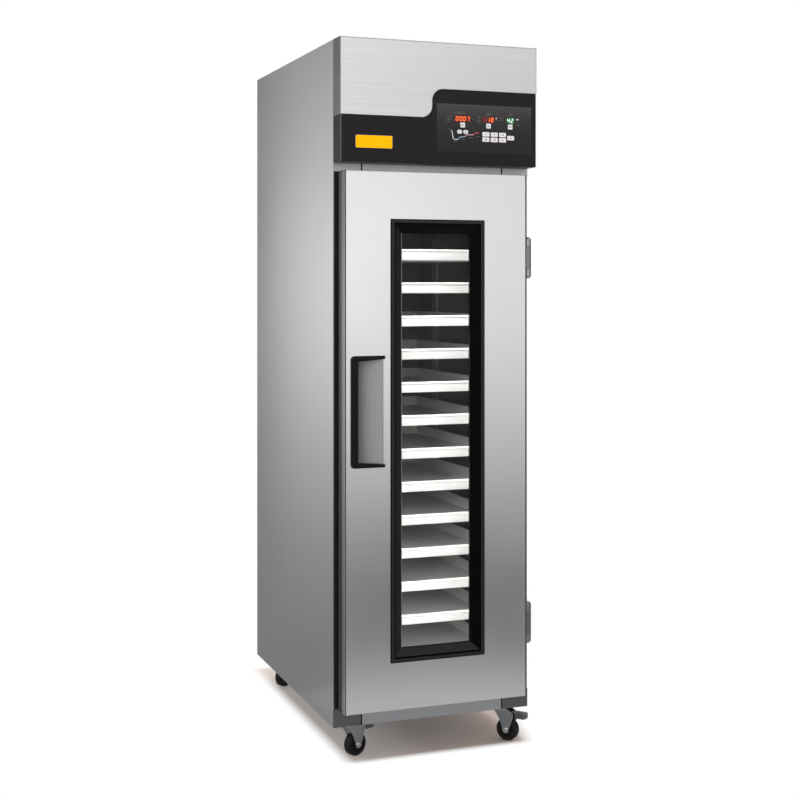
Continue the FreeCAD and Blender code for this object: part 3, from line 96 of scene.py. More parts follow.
class Graph:
    """Lays nodes in a shader tree and joins them."""

    def __init__(self, tree: bpy.types.NodeTree) -> None:
        """Start on a tree.

        Args:
            tree: The node tree to fill.
        """
        self.tree = tree

    def node(self, kind: str, **settings: object) -> bpy.types.Node:
        """Add a node.

        Args:
            kind: Blender's name of the node type.
            settings: Attributes of the node.

        Returns:
            The new node.
        """
        made = self.tree.nodes.new(kind)
        for name, value in settings.items():
            setattr(made, name, value)
        return made

    def feed(self, socket: Socket, value: Union[Number, Sequence[float]]) -> None:
        """Join a socket to another one, or set it to a plain value.

        Args:
            socket: The socket to fill.
            value: The socket to join it to, or its value.
        """
        if isinstance(value, bpy.types.NodeSocket):
            self.tree.links.new(value, socket)
        else:
            socket.default_value = value

    def maths(self, operation: str, a: Number, b: Number = 0.0, clamp: bool = False) -> Socket:
        """Add a Math node.

        Args:
            operation: Name of the sum, such as ADD.
            a: First value or socket.
            b: Second value or socket.
            clamp: Whether the result is kept between 0 and 1.

        Returns:
            The node's result.
        """
        made = self.node("ShaderNodeMath", operation=operation, use_clamp=clamp)
        self.feed(made.inputs[0], a)
        self.feed(made.inputs[1], b)
        return made.outputs[0]

    def spread(self, value: Socket, low: float, high: float, to_low: float = 0.0,
               to_high: float = 1.0) -> Socket:
        """Map a range of values onto another one, held at its ends.

        Args:
            value: The value to map.
            low: Lower end of its range.
            high: Upper end of its range.
            to_low: Result at the lower end.
            to_high: Result at the upper end.

        Returns:
            The mapped value.
        """
        made = self.node("ShaderNodeMapRange", clamp=True)
        for socket, number in zip(made.inputs, (value, low, high, to_low, to_high)):
            self.feed(socket, number)
        return made.outputs[0]

    def blend(self, factor: Number, a: Union[Socket, Colour], b: Union[Socket, Colour]) -> Socket:
        """Mix two colours.

        Args:
            factor: Share of the second colour.
            a: First colour.
            b: Second colour.

        Returns:
            The mixed colour.
        """
        made = self.node("ShaderNodeMix", data_type="RGBA", clamp_factor=True)
        self.feed(made.inputs["Factor"], factor)
        for number, colour in zip(MIX_COLOURS, (a, b)):
            plain = not isinstance(colour, bpy.types.NodeSocket)
            self.feed(made.inputs[number], (*colour, 1.0) if plain else colour)
        return made.outputs[MIX_RESULT]

    def ramp(self, value: Socket, stops: Sequence[tuple[float, Colour]]) -> Socket:
        """Turn a value into a colour by given stops.

        Args:
            value: The value, from 0 to 1.
            stops: Place and colour of each stop.

        Returns:
            The colour.
        """
        made = self.node("ShaderNodeValToRGB")
        elements = made.color_ramp.elements
        while len(elements) < len(stops):
            elements.new(1.0)
        for element, (place, colour) in zip(elements, stops):
            element.position = place
            element.color = (*colour, 1.0)
        self.feed(made.inputs[0], value)
        return made.outputs[0]

    def parts(self, vector: Socket) -> bpy.types.NodeOutputs:
        """Split a vector.

        Args:
            vector: The vector's socket.

        Returns:
            Its X, Y and Z sockets, by name.
        """
        made = self.node("ShaderNodeSeparateXYZ")
        self.feed(made.inputs[0], vector)
        return made.outputs

    def place(self) -> Socket:
        """The shaded point in its object's axes."""
        return self.node("ShaderNodeTexCoord").outputs["Object"]

    def surface(self, value: str) -> Socket:
        """A vector of the shaded surface, such as its Normal or Position."""
        return self.node("ShaderNodeNewGeometry").outputs[value]

    def noise(self, place: Socket, scale: Number, detail: float, roughness: float = 0.5) -> Socket:
        """Add a noise texture.

        Args:
            place: Where the noise is read.
            scale: Its scale.
            detail: Number of its finer layers.
            roughness: Weight of the finer layers.

        Returns:
            The noise's value.
        """
        made = self.node("ShaderNodeTexNoise")
        values = {"Vector": place, "Scale": scale, "Detail": detail, "Roughness": roughness}
        for name, value in values.items():
            self.feed(made.inputs[name], value)
        return made.outputs[0]

    def cells(self, scale: Number) -> bpy.types.NodeOutputs:
        """Add a texture of cells.

        Args:
            scale: Its scale.

        Returns:
            The texture's sockets, by name.
        """
        made = self.node("ShaderNodeTexVoronoi")
        self.feed(made.inputs["Vector"], self.place())
        self.feed(made.inputs["Scale"], scale)
        return made.outputs

    def group(self, effect: Effect, **values: Number) -> bpy.types.Node:
        """Place a shared effect with its own values.

        Args:
            effect: Which group to place.
            values: Values of its inputs, by name.

        Returns:
            The group node.
        """
        made = self.node("ShaderNodeGroup", node_tree=EFFECTS[effect]())
        for name, value in values.items():
            self.feed(made.inputs[name.capitalize()], value)
        return made


def new_group(effect: Effect, inputs: dict[str, tuple[str, object]],
              outputs: dict[str, str]) -> tuple[Graph, bpy.types.NodeOutputs, bpy.types.NodeInputs]:
    """Start a shader node group with named sockets.

    Args:
        effect: The effect that the group makes.
        inputs: Socket type and first value by name.
        outputs: Socket type by name.

    Returns:
        The graph, its input sockets and its output sockets.
    """
    tree = bpy.data.node_groups.new(effect.value, "ShaderNodeTree")
    for name, (kind, value) in inputs.items():
        socket = tree.interface.new_socket(name=name, in_out="INPUT", socket_type=kind)
        socket.default_value = value
    for name, kind in outputs.items():
        tree.interface.new_socket(name=name, in_out="OUTPUT", socket_type=kind)
    graph = Graph(tree)
    entry = graph.node("NodeGroupInput")
    leave = graph.node("NodeGroupOutput")
    return graph, entry.outputs, leave.inputs


def once(effect: Effect) -> Callable[[Callable[[], None]], Callable[[], bpy.types.NodeTree]]:
    """Build a group at its first use and hand out the same one afterwards.

    Args:
        effect: The effect that the group makes.

    Returns:
        Decorator of the function that builds the group.
    """
    def wrap(maker: Callable[[], None]) -> Callable[[], bpy.types.NodeTree]:
        """Turn the builder of a group into its giver."""
        def give() -> bpy.types.NodeTree:
            """The group, built here if it is missing."""
            if effect.value not in bpy.data.node_groups:
                maker()
            return bpy.data.node_groups[effect.value]
        return give
    return wrap


@once(Effect.GRAIN)
def brushed_grain() -> None:
    """Fine lines drawn out along one axis."""
    graph, given, out = new_group(
        Effect.GRAIN, {"Stretch": ("NodeSocketVector", Grain.UPRIGHT.value)},
        {"Lines": "NodeSocketFloat"})
    scaled = graph.node("ShaderNodeVectorMath", operation="MULTIPLY")
    graph.feed(scaled.inputs[0], graph.place())
    graph.feed(scaled.inputs[1], given["Stretch"])
    lines = graph.noise(scaled.outputs[0], scale=1.0, detail=5.0, roughness=0.7)
    graph.feed(out["Lines"], graph.spread(lines, 0.3, 0.7))


@once(Effect.PATCHES)
def soft_patches() -> None:
    """Broad cloudy variation, as of handling and rolling."""
    graph, given, out = new_group(
        Effect.PATCHES, {"Size": ("NodeSocketFloat", 6.0)}, {"Patches": "NodeSocketFloat"})
    clouds = graph.noise(graph.place(), given["Size"], detail=3.0)
    graph.feed(out["Patches"], graph.spread(clouds, 0.3, 0.7))


@once(Effect.EDGES)
def rounded_edges() -> None:
    """Edge rounding as a normal, and a mask of the edges it rounds."""
    graph, given, out = new_group(
        Effect.EDGES, {"Radius": ("NodeSocketFloat", 0.8 * MM)},
        {"Normal": "NodeSocketVector", "EdgeMask": "NodeSocketFloat"})
    bevel = graph.node("ShaderNodeBevel", samples=4)
    graph.feed(bevel.inputs["Radius"], given["Radius"])
    match = graph.node("ShaderNodeVectorMath", operation="DOT_PRODUCT")
    graph.feed(match.inputs[0], bevel.outputs[0])
    graph.feed(match.inputs[1], graph.surface("Normal"))
    turned = graph.maths("SUBTRACT", 1.0, match.outputs["Value"])
    graph.feed(out["Normal"], bevel.outputs[0])
    # Mask of the rounded edges, which the finishes use for rubbed wear and for painted highlight and shade
    # along edges.
    graph.feed(out["EdgeMask"], graph.maths("MULTIPLY", turned, EDGE_MASK_GAIN, clamp=True))


@once(Effect.PITS)
def moulded_pits() -> None:
    """Fine moulding texture, as a height and as a tone."""
    graph, given, out = new_group(
        Effect.PITS, {"Size": ("NodeSocketFloat", 1800.0)},
        {"Height": "NodeSocketFloat", "Speckle": "NodeSocketFloat"})
    noise = graph.noise(graph.place(), given["Size"], detail=2.0)
    graph.feed(out["Height"], graph.maths("ADD", noise, graph.cells(given["Size"])["Distance"]))
    graph.feed(out["Speckle"], graph.spread(noise, 0.35, 0.65))


@once(Effect.DUST)
def settled_dust() -> None:
    """Mask of dust that lies on faces turned upwards."""
    graph, given, out = new_group(
        Effect.DUST, {"Amount": ("NodeSocketFloat", 0.3)}, {"Dust": "NodeSocketFloat"})
    upward = graph.spread(graph.parts(graph.surface("Normal"))["Z"], 0.5, 1.0)
    clouds = graph.spread(graph.noise(graph.place(), scale=14.0, detail=6.0), 0.35, 0.75, 0.2, 1.0)
    lying = graph.maths("MULTIPLY", upward, clouds)
    graph.feed(out["Dust"], graph.maths("MULTIPLY", lying, given["Amount"]))


@once(Effect.FLAKES)
def zinc_flakes() -> None:
    """Crystals of a zinc coat, each of its own tone."""
    graph, given, out = new_group(
        Effect.FLAKES, {"Size": ("NodeSocketFloat", 140.0)}, {"Tone": "NodeSocketFloat"})
    tone = graph.node("ShaderNodeSeparateColor")
    graph.feed(tone.inputs[0], graph.cells(given["Size"])["Color"])
    graph.feed(out["Tone"], tone.outputs[0])


EFFECTS: dict[Effect, Callable[[], bpy.types.NodeTree]] = {
    Effect.GRAIN: brushed_grain,
    Effect.PATCHES: soft_patches,
    Effect.EDGES: rounded_edges,
    Effect.PITS: moulded_pits,
    Effect.DUST: settled_dust,
    Effect.FLAKES: zinc_flakes,
}


def shade(colour: Colour, factor: float) -> Colour:
    """A colour made darker or lighter by one factor."""
    return tuple(min(1.0, part * factor) for part in colour)


@dataclass(frozen=True)
class Finish:
    """A surface finish that becomes one material."""

    name: str
    colour: Colour
    roughness: float

    def material(self) -> bpy.types.Material:
        """Build the material at its first use.

        Returns:
            The material of this finish.
        """
        found = bpy.data.materials.get(self.name)
        if found:
            return found
        made = bpy.data.materials.new(self.name)
        made.use_nodes = True
        made.node_tree.nodes.clear()
        graph = Graph(made.node_tree)
        surface = graph.node("ShaderNodeBsdfPrincipled")
        graph.feed(graph.node("ShaderNodeOutputMaterial").inputs["Surface"], surface.outputs[0])
        self.dress(graph, surface.inputs)
        return made

    def dress(self, graph: Graph, surface: bpy.types.NodeInputs) -> None:
        """Lay the finish's nodes.

        Args:
            graph: The material's nodes.
            surface: Inputs of its Principled shader.
        """
        raise NotImplementedError

    def bump(self, graph: Graph, surface: bpy.types.NodeInputs, height: Socket, depth: float,
             under: Optional[Socket] = None) -> None:
        """Let a height stand out of the surface.

        Args:
            graph: The material's nodes.
            surface: Inputs of its Principled shader.
            height: The height between 0 and 1.
            depth: How deep a height of 1 is.
            under: Normal that the height stands on.
        """
        relief = graph.node("ShaderNodeBump")
        graph.feed(relief.inputs["Strength"], RELIEF_STRENGTH)
        graph.feed(relief.inputs["Distance"], depth)
        graph.feed(relief.inputs["Height"], height)
        if under is not None:
            graph.feed(relief.inputs["Normal"], under)
        graph.feed(surface["Normal"], relief.outputs[0])

    def uneven(self, graph: Graph, mask: Socket, less: float, more: float) -> Socket:
        """Roughness that a mask takes from somewhat less to somewhat more than the finish's own."""
        return graph.spread(mask, 0.0, 1.0, self.roughness - less, self.roughness + more)


@dataclass(frozen=True)
class BrushedSteel(Finish):
    """Stainless sheet with brush lines, faint patches and a painted highlight along its edges, which turns
    into painted shade where the edge factor is below 1.

    A sheet with a side tone other than 1 gets painted shade where it turns. Its bends, and all of it past the
    hem and the brim, take a dark painted crease tone. Its faces that look to a side take a darker painted
    side tone, which is painted lighter towards the floor and which fades over the depths of fold.
    """

    grain: Grain = Grain.UPRIGHT
    contrast: float = 0.05
    edge_light: float = 1.12
    line_depth: float = 0.002 * MM
    edge: float = 0.8 * MM
    side_shade: float = 1.0
    crease_shade: float = 0.04
    fold: Flat = (0.0, 1.0)
    hem: float = 1.0
    brim: float = 10.0
    settle: float = 1.0
    bend_left: Flat = (-0.34, -0.22)
    bend_right: Flat = (0.08, 0.16)
    sideways: Flat = (0.97, 0.995)
    low_stretch: Flat = (0.15, 1.35)
    inner_side_shade: float = 0.2
    patch_size: float = 5.0
    patch_share: float = 0.1
    patch_tone: float = 0.9
    patch_rough: float = 0.03
    bend_rough: float = 0.6

    def tone(self, graph: Graph, sheet: Socket) -> tuple[Socket, Optional[Socket]]:
        """Paint shade into the creases of the sheet and onto the faces that are folded back to the sides.

        Args:
            graph: The material's nodes.
            sheet: Colour of the sheet before the folds.

        Returns:
            The colour with its painted shade, and the mask of the painted dark crease lines, which are made
            dull, where it has any.
        """
        if self.side_shade == 1.0:
            return sheet, None
        normal = graph.parts(graph.surface("Normal"))
        place = graph.parts(graph.place())
        # Painted shade: dark lines on the bends and past the hem and the brim, and a darker tone on the faces
        # to the sides, painted lighter near the floor.
        left = graph.spread(normal["X"], *self.bend_left, 1.0, 0.0)
        right = graph.spread(normal["X"], *self.bend_right)
        hem = graph.maths("GREATER_THAN", place["X"], self.hem)
        brim = graph.maths("GREATER_THAN", place["Z"], self.brim)
        bends = graph.maths("MAXIMUM", left, right)
        lines = graph.maths("MAXIMUM", bends, graph.maths("MAXIMUM", hem, brim))
        crease_shaded = graph.blend(lines, sheet, shade(self.colour, self.crease_shade))
        side = graph.spread(graph.maths("ABSOLUTE", normal["X"]), *self.sideways)
        inward = graph.spread(place["Y"], *self.fold)
        low = graph.spread(place["Z"], *self.low_stretch, 1.0, 0.0)
        lowest = shade(self.colour, self.side_shade * self.settle)
        near = graph.blend(low, shade(self.colour, self.side_shade), lowest)
        fold = graph.blend(inward, near, shade(self.colour, self.inner_side_shade * self.side_shade))
        shaded_lines = graph.maths("SUBTRACT", lines, side, clamp=True)
        return graph.blend(side, crease_shaded, fold), shaded_lines

    def dress(self, graph: Graph, surface: bpy.types.NodeInputs) -> None:
        """Lay lines, patches and painted light along the edges over bare steel.

        Args:
            graph: The material's nodes.
            surface: Inputs of its Principled shader.
        """
        lines = graph.group(Effect.GRAIN, stretch=self.grain.value).outputs["Lines"]
        patches = graph.group(Effect.PATCHES, size=self.patch_size).outputs["Patches"]
        edges = graph.group(Effect.EDGES, radius=self.edge)
        sheet = graph.blend(lines, shade(self.colour, 1 - self.contrast),
                            shade(self.colour, 1 + self.contrast))
        clouds = graph.maths("MULTIPLY", patches, self.patch_share)
        clouded = graph.blend(clouds, sheet, shade(self.colour, self.patch_tone))
        # Painted highlight along the edges, which is painted shade where the edge factor is below 1.
        edge_lit = graph.blend(edges.outputs["EdgeMask"], clouded, shade(self.colour, self.edge_light))
        colour, shaded_lines = self.tone(graph, edge_lit)
        graph.feed(surface["Base Color"], colour)
        rough = graph.spread(lines, 0.0, 1.0, self.roughness * (1 + 2 * self.contrast),
                             self.roughness * (1 - 2 * self.contrast))
        clouded_rough = graph.maths("ADD", rough, graph.maths("MULTIPLY", patches, self.patch_rough))
        if shaded_lines is None:
            graph.feed(surface["Roughness"], clouded_rough)
            surface["Metallic"].default_value = 1.0
        else:
            # The painted dark lines lose their metal and turn rougher, so their dark colour shows.
            rougher = graph.maths("MULTIPLY", shaded_lines, self.bend_rough)
            graph.feed(surface["Roughness"], graph.maths("ADD", clouded_rough, rougher, clamp=True))
            graph.feed(surface["Metallic"], graph.maths("SUBTRACT", 1.0, shaded_lines))
        self.bump(graph, surface, lines, self.line_depth, edges.outputs["Normal"])


@dataclass(frozen=True)
class CappedSteel(BrushedSteel):
    """Steel bars of which the lower one has darker end caps."""

    cap_start: float = 196.0 * MM
    cap_top: float = 500.0 * MM
    cap_tone: float = 0.36
    rail_colour: Colour = (0.50, 0.50, 0.503)

    def tone(self, graph: Graph, sheet: Socket) -> tuple[Socket, Optional[Socket]]:
        """Darken the lower bar past the seams of its end caps, and colour the upper one.

        Args:
            graph: The material's nodes.
            sheet: Colour of the steel.

        Returns:
            The colour of the bars, and no mask of creases.
        """
        place = graph.parts(graph.place())
        past = graph.maths("GREATER_THAN", graph.maths("ABSOLUTE", place["X"]), self.cap_start)
        lower = graph.maths("LESS_THAN", place["Z"], self.cap_top)
        bars = graph.blend(lower, self.rail_colour, sheet)
        capped = graph.maths("MULTIPLY", past, lower)
        return graph.blend(capped, bars, shade(self.colour, self.cap_tone)), None


@dataclass(frozen=True)
class PlatedSteel(Finish):
    """Zinc-plated steel with crystals, dust, and edges lightened partly by rubbing and partly by a painted
    highlight.
    """

    flake: float = 160.0
    dust: float = 0.25
    edge: float = 0.6 * MM
    mottle: float = 0.11
    edge_light: float = 1.25
    rough_share: float = 0.6
    dust_colour: Colour = (0.42, 0.40, 0.37)

    def dress(self, graph: Graph, surface: bpy.types.NodeInputs) -> None:
        """Lay crystals, edges lightened by rubbing and by a painted highlight, and dust over zinc.

        Args:
            graph: The material's nodes.
            surface: Inputs of its Principled shader.
        """
        tone = graph.group(Effect.FLAKES, size=self.flake).outputs["Tone"]
        dust = graph.group(Effect.DUST, amount=self.dust).outputs["Dust"]
        edges = graph.group(Effect.EDGES, radius=self.edge)
        zinc = graph.blend(tone, shade(self.colour, 1 - self.mottle), shade(self.colour, 1 + self.mottle))
        # Edges lightened by rubbing and by a painted highlight.
        rubbed_and_lit = graph.blend(edges.outputs["EdgeMask"], zinc, shade(self.colour, self.edge_light))
        graph.feed(surface["Base Color"], graph.blend(dust, rubbed_and_lit, self.dust_colour))
        spread = self.mottle * self.rough_share
        rough = self.uneven(graph, tone, spread, spread)
        graph.feed(surface["Roughness"], graph.maths("ADD", rough, dust))
        graph.feed(surface["Metallic"], graph.maths("SUBTRACT", 1.0, dust))
        graph.feed(surface["Normal"], edges.outputs["Normal"])


@dataclass(frozen=True)
class MouldedPlastic(Finish):
    """Moulded plastic, enamel or rubber with a fine texture and pale edges, partly rubbed wear and partly a
    painted highlight.

    Faces that look down can take painted light of their own, under, and the round of an upright edge on the
    left can take a painted highlight, corner.
    """

    pits: float = 1800.0
    pit_depth: float = 0.02 * MM
    rub_and_sheen: float = 0.25
    rub_and_sheen_colour: Colour = (0.12, 0.12, 0.12)
    dust: float = 0.0
    edge: float = 0.6 * MM
    coat: float = 0.0
    gloss: float = 0.5
    under: float = 1.0
    corner: Optional[Colour] = None
    speckle: float = 0.12
    patch_size: float = 9.0
    rough_spread: float = 0.05
    coat_rough: float = 0.08
    dust_colour: Colour = (0.38, 0.36, 0.33)
    turned_down: Flat = (-0.9, -0.5)
    highlight_begins: Flat = (-0.60, -0.45)
    highlight_ends: Flat = (-0.95, -0.85)

    def dress(self, graph: Graph, surface: bpy.types.NodeInputs) -> None:
        """Lay texture, pale edges of rubbing and painted highlight, dust, and painted light on downward faces
        and on a left corner over the plain colour.

        Args:
            graph: The material's nodes.
            surface: Inputs of its Principled shader.
        """
        pits = graph.group(Effect.PITS, size=self.pits)
        patches = graph.group(Effect.PATCHES, size=self.patch_size).outputs["Patches"]
        edges = graph.group(Effect.EDGES, radius=self.edge)
        tone = graph.blend(pits.outputs["Speckle"], shade(self.colour, 1 - self.speckle),
                           shade(self.colour, 1 + self.speckle))
        # Pale edges: rubbed wear with a painted highlight.
        rubbed_and_lit = graph.maths("MULTIPLY", edges.outputs["EdgeMask"], self.rub_and_sheen)
        tone = graph.blend(rubbed_and_lit, tone, self.rub_and_sheen_colour)
        if self.dust:
            dust = graph.group(Effect.DUST, amount=self.dust).outputs["Dust"]
            tone = graph.blend(dust, tone, self.dust_colour)
        # Painted light on faces that look down.
        if self.under != 1.0:
            height = graph.parts(graph.surface("Normal"))["Z"]
            downward = graph.spread(height, *self.turned_down, 1.0, 0.0)
            tone = graph.blend(downward, tone, shade(self.colour, self.under))
        # Painted highlight on the round of an upright edge on the left.
        if self.corner:
            turn = graph.parts(graph.surface("Normal"))["X"]
            begun = graph.spread(turn, *self.highlight_begins, 1.0, 0.0)
            ended = graph.spread(turn, *self.highlight_ends, 1.0, 0.0)
            tone = graph.blend(graph.maths("SUBTRACT", begun, ended, clamp=True), tone, self.corner)
        graph.feed(surface["Base Color"], tone)
        graph.feed(surface["Roughness"], self.uneven(graph, patches, self.rough_spread, self.rough_spread))
        surface["Coat Weight"].default_value = self.coat
        surface["Coat Roughness"].default_value = self.coat_rough
        surface["Specular IOR Level"].default_value = self.gloss
        self.bump(graph, surface, pits.outputs["Height"], self.pit_depth, edges.outputs["Normal"])


@dataclass(frozen=True)
class GradedPlate(Finish):
    """Gloss plate with a painted sheen that lightens it towards its upper edge."""

    top_sheen: Colour = (0.05, 0.05, 0.05)
    low: float = 0.0
    high: float = 1.0
    bend: float = 3.0
    gloss: float = 0.25
    edge: float = 0.4 * MM
    patch_size: float = 9.0
    rough_spread: float = 0.006

    def dress(self, graph: Graph, surface: bpy.types.NodeInputs) -> None:
        """Grade a painted sheen over the plate from its lower to its upper edge.

        Args:
            graph: The material's nodes.
            surface: Inputs of its Principled shader.
        """
        # Painted sheen, brighter towards the top of the plate.
        rise = graph.spread(graph.parts(graph.place())["Z"], self.low, self.high)
        graded = graph.maths("POWER", rise, self.bend)
        graph.feed(surface["Base Color"], graph.blend(graded, self.colour, self.top_sheen))
        patches = graph.group(Effect.PATCHES, size=self.patch_size).outputs["Patches"]
        graph.feed(surface["Roughness"], self.uneven(graph, patches, self.rough_spread, self.rough_spread))
        surface["Specular IOR Level"].default_value = self.gloss
        graph.feed(surface["Normal"], graph.group(Effect.EDGES, radius=self.edge).outputs["Normal"])


@dataclass(frozen=True)
class ClearGlass(Finish):
    """Coated window glass that reflects little, with a faint film."""

    index: float = 1.14
    gloss: float = 0.12
    film_size: float = 7.0
    film_tone: float = 0.97
    film_rough: float = 0.02

    def dress(self, graph: Graph, surface: bpy.types.NodeInputs) -> None:
        """Lay a faint film on clear glass.

        Args:
            graph: The material's nodes.
            surface: Inputs of its Principled shader.
        """
        film = graph.group(Effect.PATCHES, size=self.film_size).outputs["Patches"]
        graph.feed(surface["Base Color"], graph.blend(film, self.colour, shade(self.colour, self.film_tone)))
        graph.feed(surface["Roughness"], self.uneven(graph, film, 0.0, self.film_rough))
        surface["Transmission Weight"].default_value = 1.0
        surface["IOR"].default_value = self.index
        surface["Specular IOR Level"].default_value = self.gloss


@dataclass(frozen=True)
class Lit(Finish):
    """A glowing face: a lamp's lens or a display's segments."""

    glow: float = 1.0
    unevenness: float = 0.2
    patch_size: float = 60.0
    patch_tone: float = 0.8
    patch_rough: float = 0.1

    def dress(self, graph: Graph, surface: bpy.types.NodeInputs) -> None:
        """Lay an uneven glow over a tinted face.

        Args:
            graph: The material's nodes.
            surface: Inputs of its Principled shader.
        """
        patches = graph.group(Effect.PATCHES, size=self.patch_size).outputs["Patches"]
        tint = graph.blend(patches, self.colour, shade(self.colour, self.patch_tone))
        graph.feed(surface["Base Color"], tint)
        graph.feed(surface["Roughness"], self.uneven(graph, patches, 0.0, self.patch_rough))
        dimmer = shade(self.colour, 1 - self.unevenness)
        graph.feed(surface["Emission Color"], graph.blend(patches, self.colour, dimmer))
        surface["Emission Strength"].default_value = self.glow


def ink(name: str, colour: Colour) -> MouldedPlastic:
    """Thin matt print of one colour."""
    return MouldedPlastic(name, colour, 0.5, pits=5000.0, pit_depth=0.001 * MM, rub_and_sheen=0.0)


# Door: a painted highlight along its edges, painted dark lines on its bends and on its right edge past the
# hem, and painted shade on its side faces, lighter towards the floor and darker further in.
DOOR_STEEL = BrushedSteel("door_steel", (0.95, 0.95, 0.95), 0.24, contrast=0.012, edge=5.0 * MM, side_shade=0.26,
                          fold=(-0.414, -0.385), hem=0.2330, settle=2.8)
SIDE_STEEL = BrushedSteel("side_steel", (0.74, 0.74, 0.74), 0.27, contrast=0.012)
# Fascia: a painted highlight along its edges, painted dark lines on its bends and along its top past the
# brim, and painted shade on its side returns.
HEAD_STEEL = BrushedSteel("head_steel", (0.84, 0.84, 0.84), 0.23, grain=Grain.LONG, contrast=0.05, edge_light=1.25,
                          edge=2.5 * MM, side_shade=0.26, crease_shade=0.35, brim=1.8296)
BAR_STEEL = CappedSteel("bar_steel", (0.50, 0.51, 0.53), 0.34, grain=Grain.LEVEL, contrast=0.03)
ROOF_STEEL = BrushedSteel("roof_steel", (0.70, 0.70, 0.70), 0.34, grain=Grain.DEEP, contrast=0.03)
# Liner and duct steel are much darker than the outer sheets: painted shade inside the chamber.
SHADED_LINER_STEEL = BrushedSteel("liner_steel_shaded", (0.36, 0.362, 0.365), 0.42, contrast=0.05)
SHADED_DUCT_STEEL = BrushedSteel("duct_steel_shaded", (0.16, 0.161, 0.165), 0.46, contrast=0.05)
RACK_STEEL = BrushedSteel("rack_steel", (0.50, 0.50, 0.50), 0.36, grain=Grain.DEEP, contrast=0.05)
# The pocket behind the grip is darker than the door: painted shade in the recess.
SHADED_POCKET_STEEL = BrushedSteel("pocket_steel_shaded", (0.56, 0.56, 0.56), 0.55, contrast=0.05)
# Hinge brackets and straps: painted shade along their edges.
HINGE_METAL = BrushedSteel("hinge_metal", (0.50, 0.50, 0.51), 0.34, contrast=0.04, edge=1.8 * MM, edge_light=0.25)
STRAP_METAL = BrushedSteel("strap_metal", (0.36, 0.36, 0.365), 0.36, contrast=0.04, edge=1.8 * MM, edge_light=0.3)
ZINC_SHEET = PlatedSteel("zinc_sheet", (0.52, 0.53, 0.55), 0.42)
# Caster forks: a strong painted highlight along their edges.
CASTER_ZINC = PlatedSteel("caster_zinc", (0.46, 0.465, 0.475), 0.22, flake=420.0, dust=0.02, edge=1.8 * MM,
                          mottle=0.06, edge_light=2.3)
PEDAL_ZINC = PlatedSteel("pedal_zinc", (0.19, 0.195, 0.205), 0.24, flake=420.0, dust=0.02, edge=1.8 * MM,
                         mottle=0.03)
SCREW_STEEL = PlatedSteel("screw_steel", (0.62, 0.62, 0.63), 0.30, flake=900.0, dust=0.0, edge=0.3 * MM)
FIN_ALUMINIUM = PlatedSteel("fin_aluminium", (0.78, 0.79, 0.80), 0.38, flake=300.0)
# Tray rims: pale edges of rubbing and a painted highlight.
TRAY_ALUMINIUM = MouldedPlastic("tray_aluminium", (0.90, 0.91, 0.92), 0.42, pits=2600.0, pit_depth=0.004 * MM,
                                rub_and_sheen=0.3, rub_and_sheen_colour=(0.97, 0.97, 0.97))
# Control panel: painted light on its faces that look down, a painted highlight on its left upright corner,
# and pale edges of rubbing and painted highlight.
PANEL_BLACK = MouldedPlastic("panel_black", (0.009, 0.009, 0.0095), 0.44, pit_depth=0.010 * MM, edge=1.2 * MM,
                             rub_and_sheen=0.35, gloss=0.20, under=7.0, corner=(0.20, 0.20, 0.20))
# Frame blacks: the plain black, and lighter and darker copies of it that paint light and shade onto the
# moulding's strips, with a pale lip that is used on the left only.
FRAME_BLACK = MouldedPlastic("frame_black", (0.022, 0.022, 0.0225), 0.34, pit_depth=0.005 * MM,
                             edge=0.6 * MM, gloss=0.12)
FRAME_BEVEL = MouldedPlastic("frame_bevel", (0.019, 0.019, 0.0195), 0.40, pit_depth=0.005 * MM,
                             rub_and_sheen=0.0, gloss=0.08)
FRAME_SHADE = MouldedPlastic("frame_shade", (0.0055, 0.0055, 0.006), 0.40, pit_depth=0.005 * MM,
                             rub_and_sheen=0.0, gloss=0.08)
FRAME_GROOVE_SHADE = MouldedPlastic("frame_groove_shade", (0.0012, 0.0012, 0.0012), 0.50, pit_depth=0.005 * MM,
                              rub_and_sheen=0.0, gloss=0.06)
FRAME_LIP = MouldedPlastic("frame_lip", (0.20, 0.205, 0.215), 0.45, pit_depth=0.005 * MM, gloss=0.14)
GRIP_BLACK = MouldedPlastic("grip_black", (0.006, 0.006, 0.0065), 0.40, pit_depth=0.008 * MM, edge=1.2 * MM,
                            rub_and_sheen=0.1, gloss=0.14)
BREAKER_BLACK = MouldedPlastic("breaker_black", (0.010, 0.010, 0.010), 0.50, gloss=0.25)
TYRE_RUBBER = MouldedPlastic("tyre_rubber", (0.008, 0.008, 0.0085), 0.48, pits=2400.0, dust=0.04,
                             rub_and_sheen_colour=(0.05, 0.05, 0.05), gloss=0.30)
HUB_GREY = MouldedPlastic("hub_grey", (0.012, 0.012, 0.0125), 0.45, rub_and_sheen_colour=(0.10, 0.10, 0.10), gloss=0.30)
SEAL_RUBBER = MouldedPlastic("seal_rubber", (0.012, 0.012, 0.0125), 0.62, pits=2200.0, gloss=0.2)
SEAM_BLACK = MouldedPlastic("seam_black", (0.002, 0.002, 0.002), 0.60, pits=2200.0, rub_and_sheen=0.0, gloss=0.05)
KEY_WHITE = MouldedPlastic("key_white", (0.74, 0.76, 0.80), 0.38, pits=4200.0, pit_depth=0.004 * MM,
                           rub_and_sheen_colour=(0.85, 0.85, 0.85), edge=0.4 * MM)
FOAM = MouldedPlastic("wall_foam", (0.72, 0.62, 0.38), 0.85, pits=260.0, pit_depth=0.4 * MM, rub_and_sheen=0.0)
BOARD_GREEN = MouldedPlastic("board_green", (0.02, 0.11, 0.05), 0.38, pits=900.0, coat=0.4)
CAN_ENAMEL = MouldedPlastic("can_enamel", (0.012, 0.012, 0.013), 0.28, pits=700.0, dust=0.3, coat=0.3)
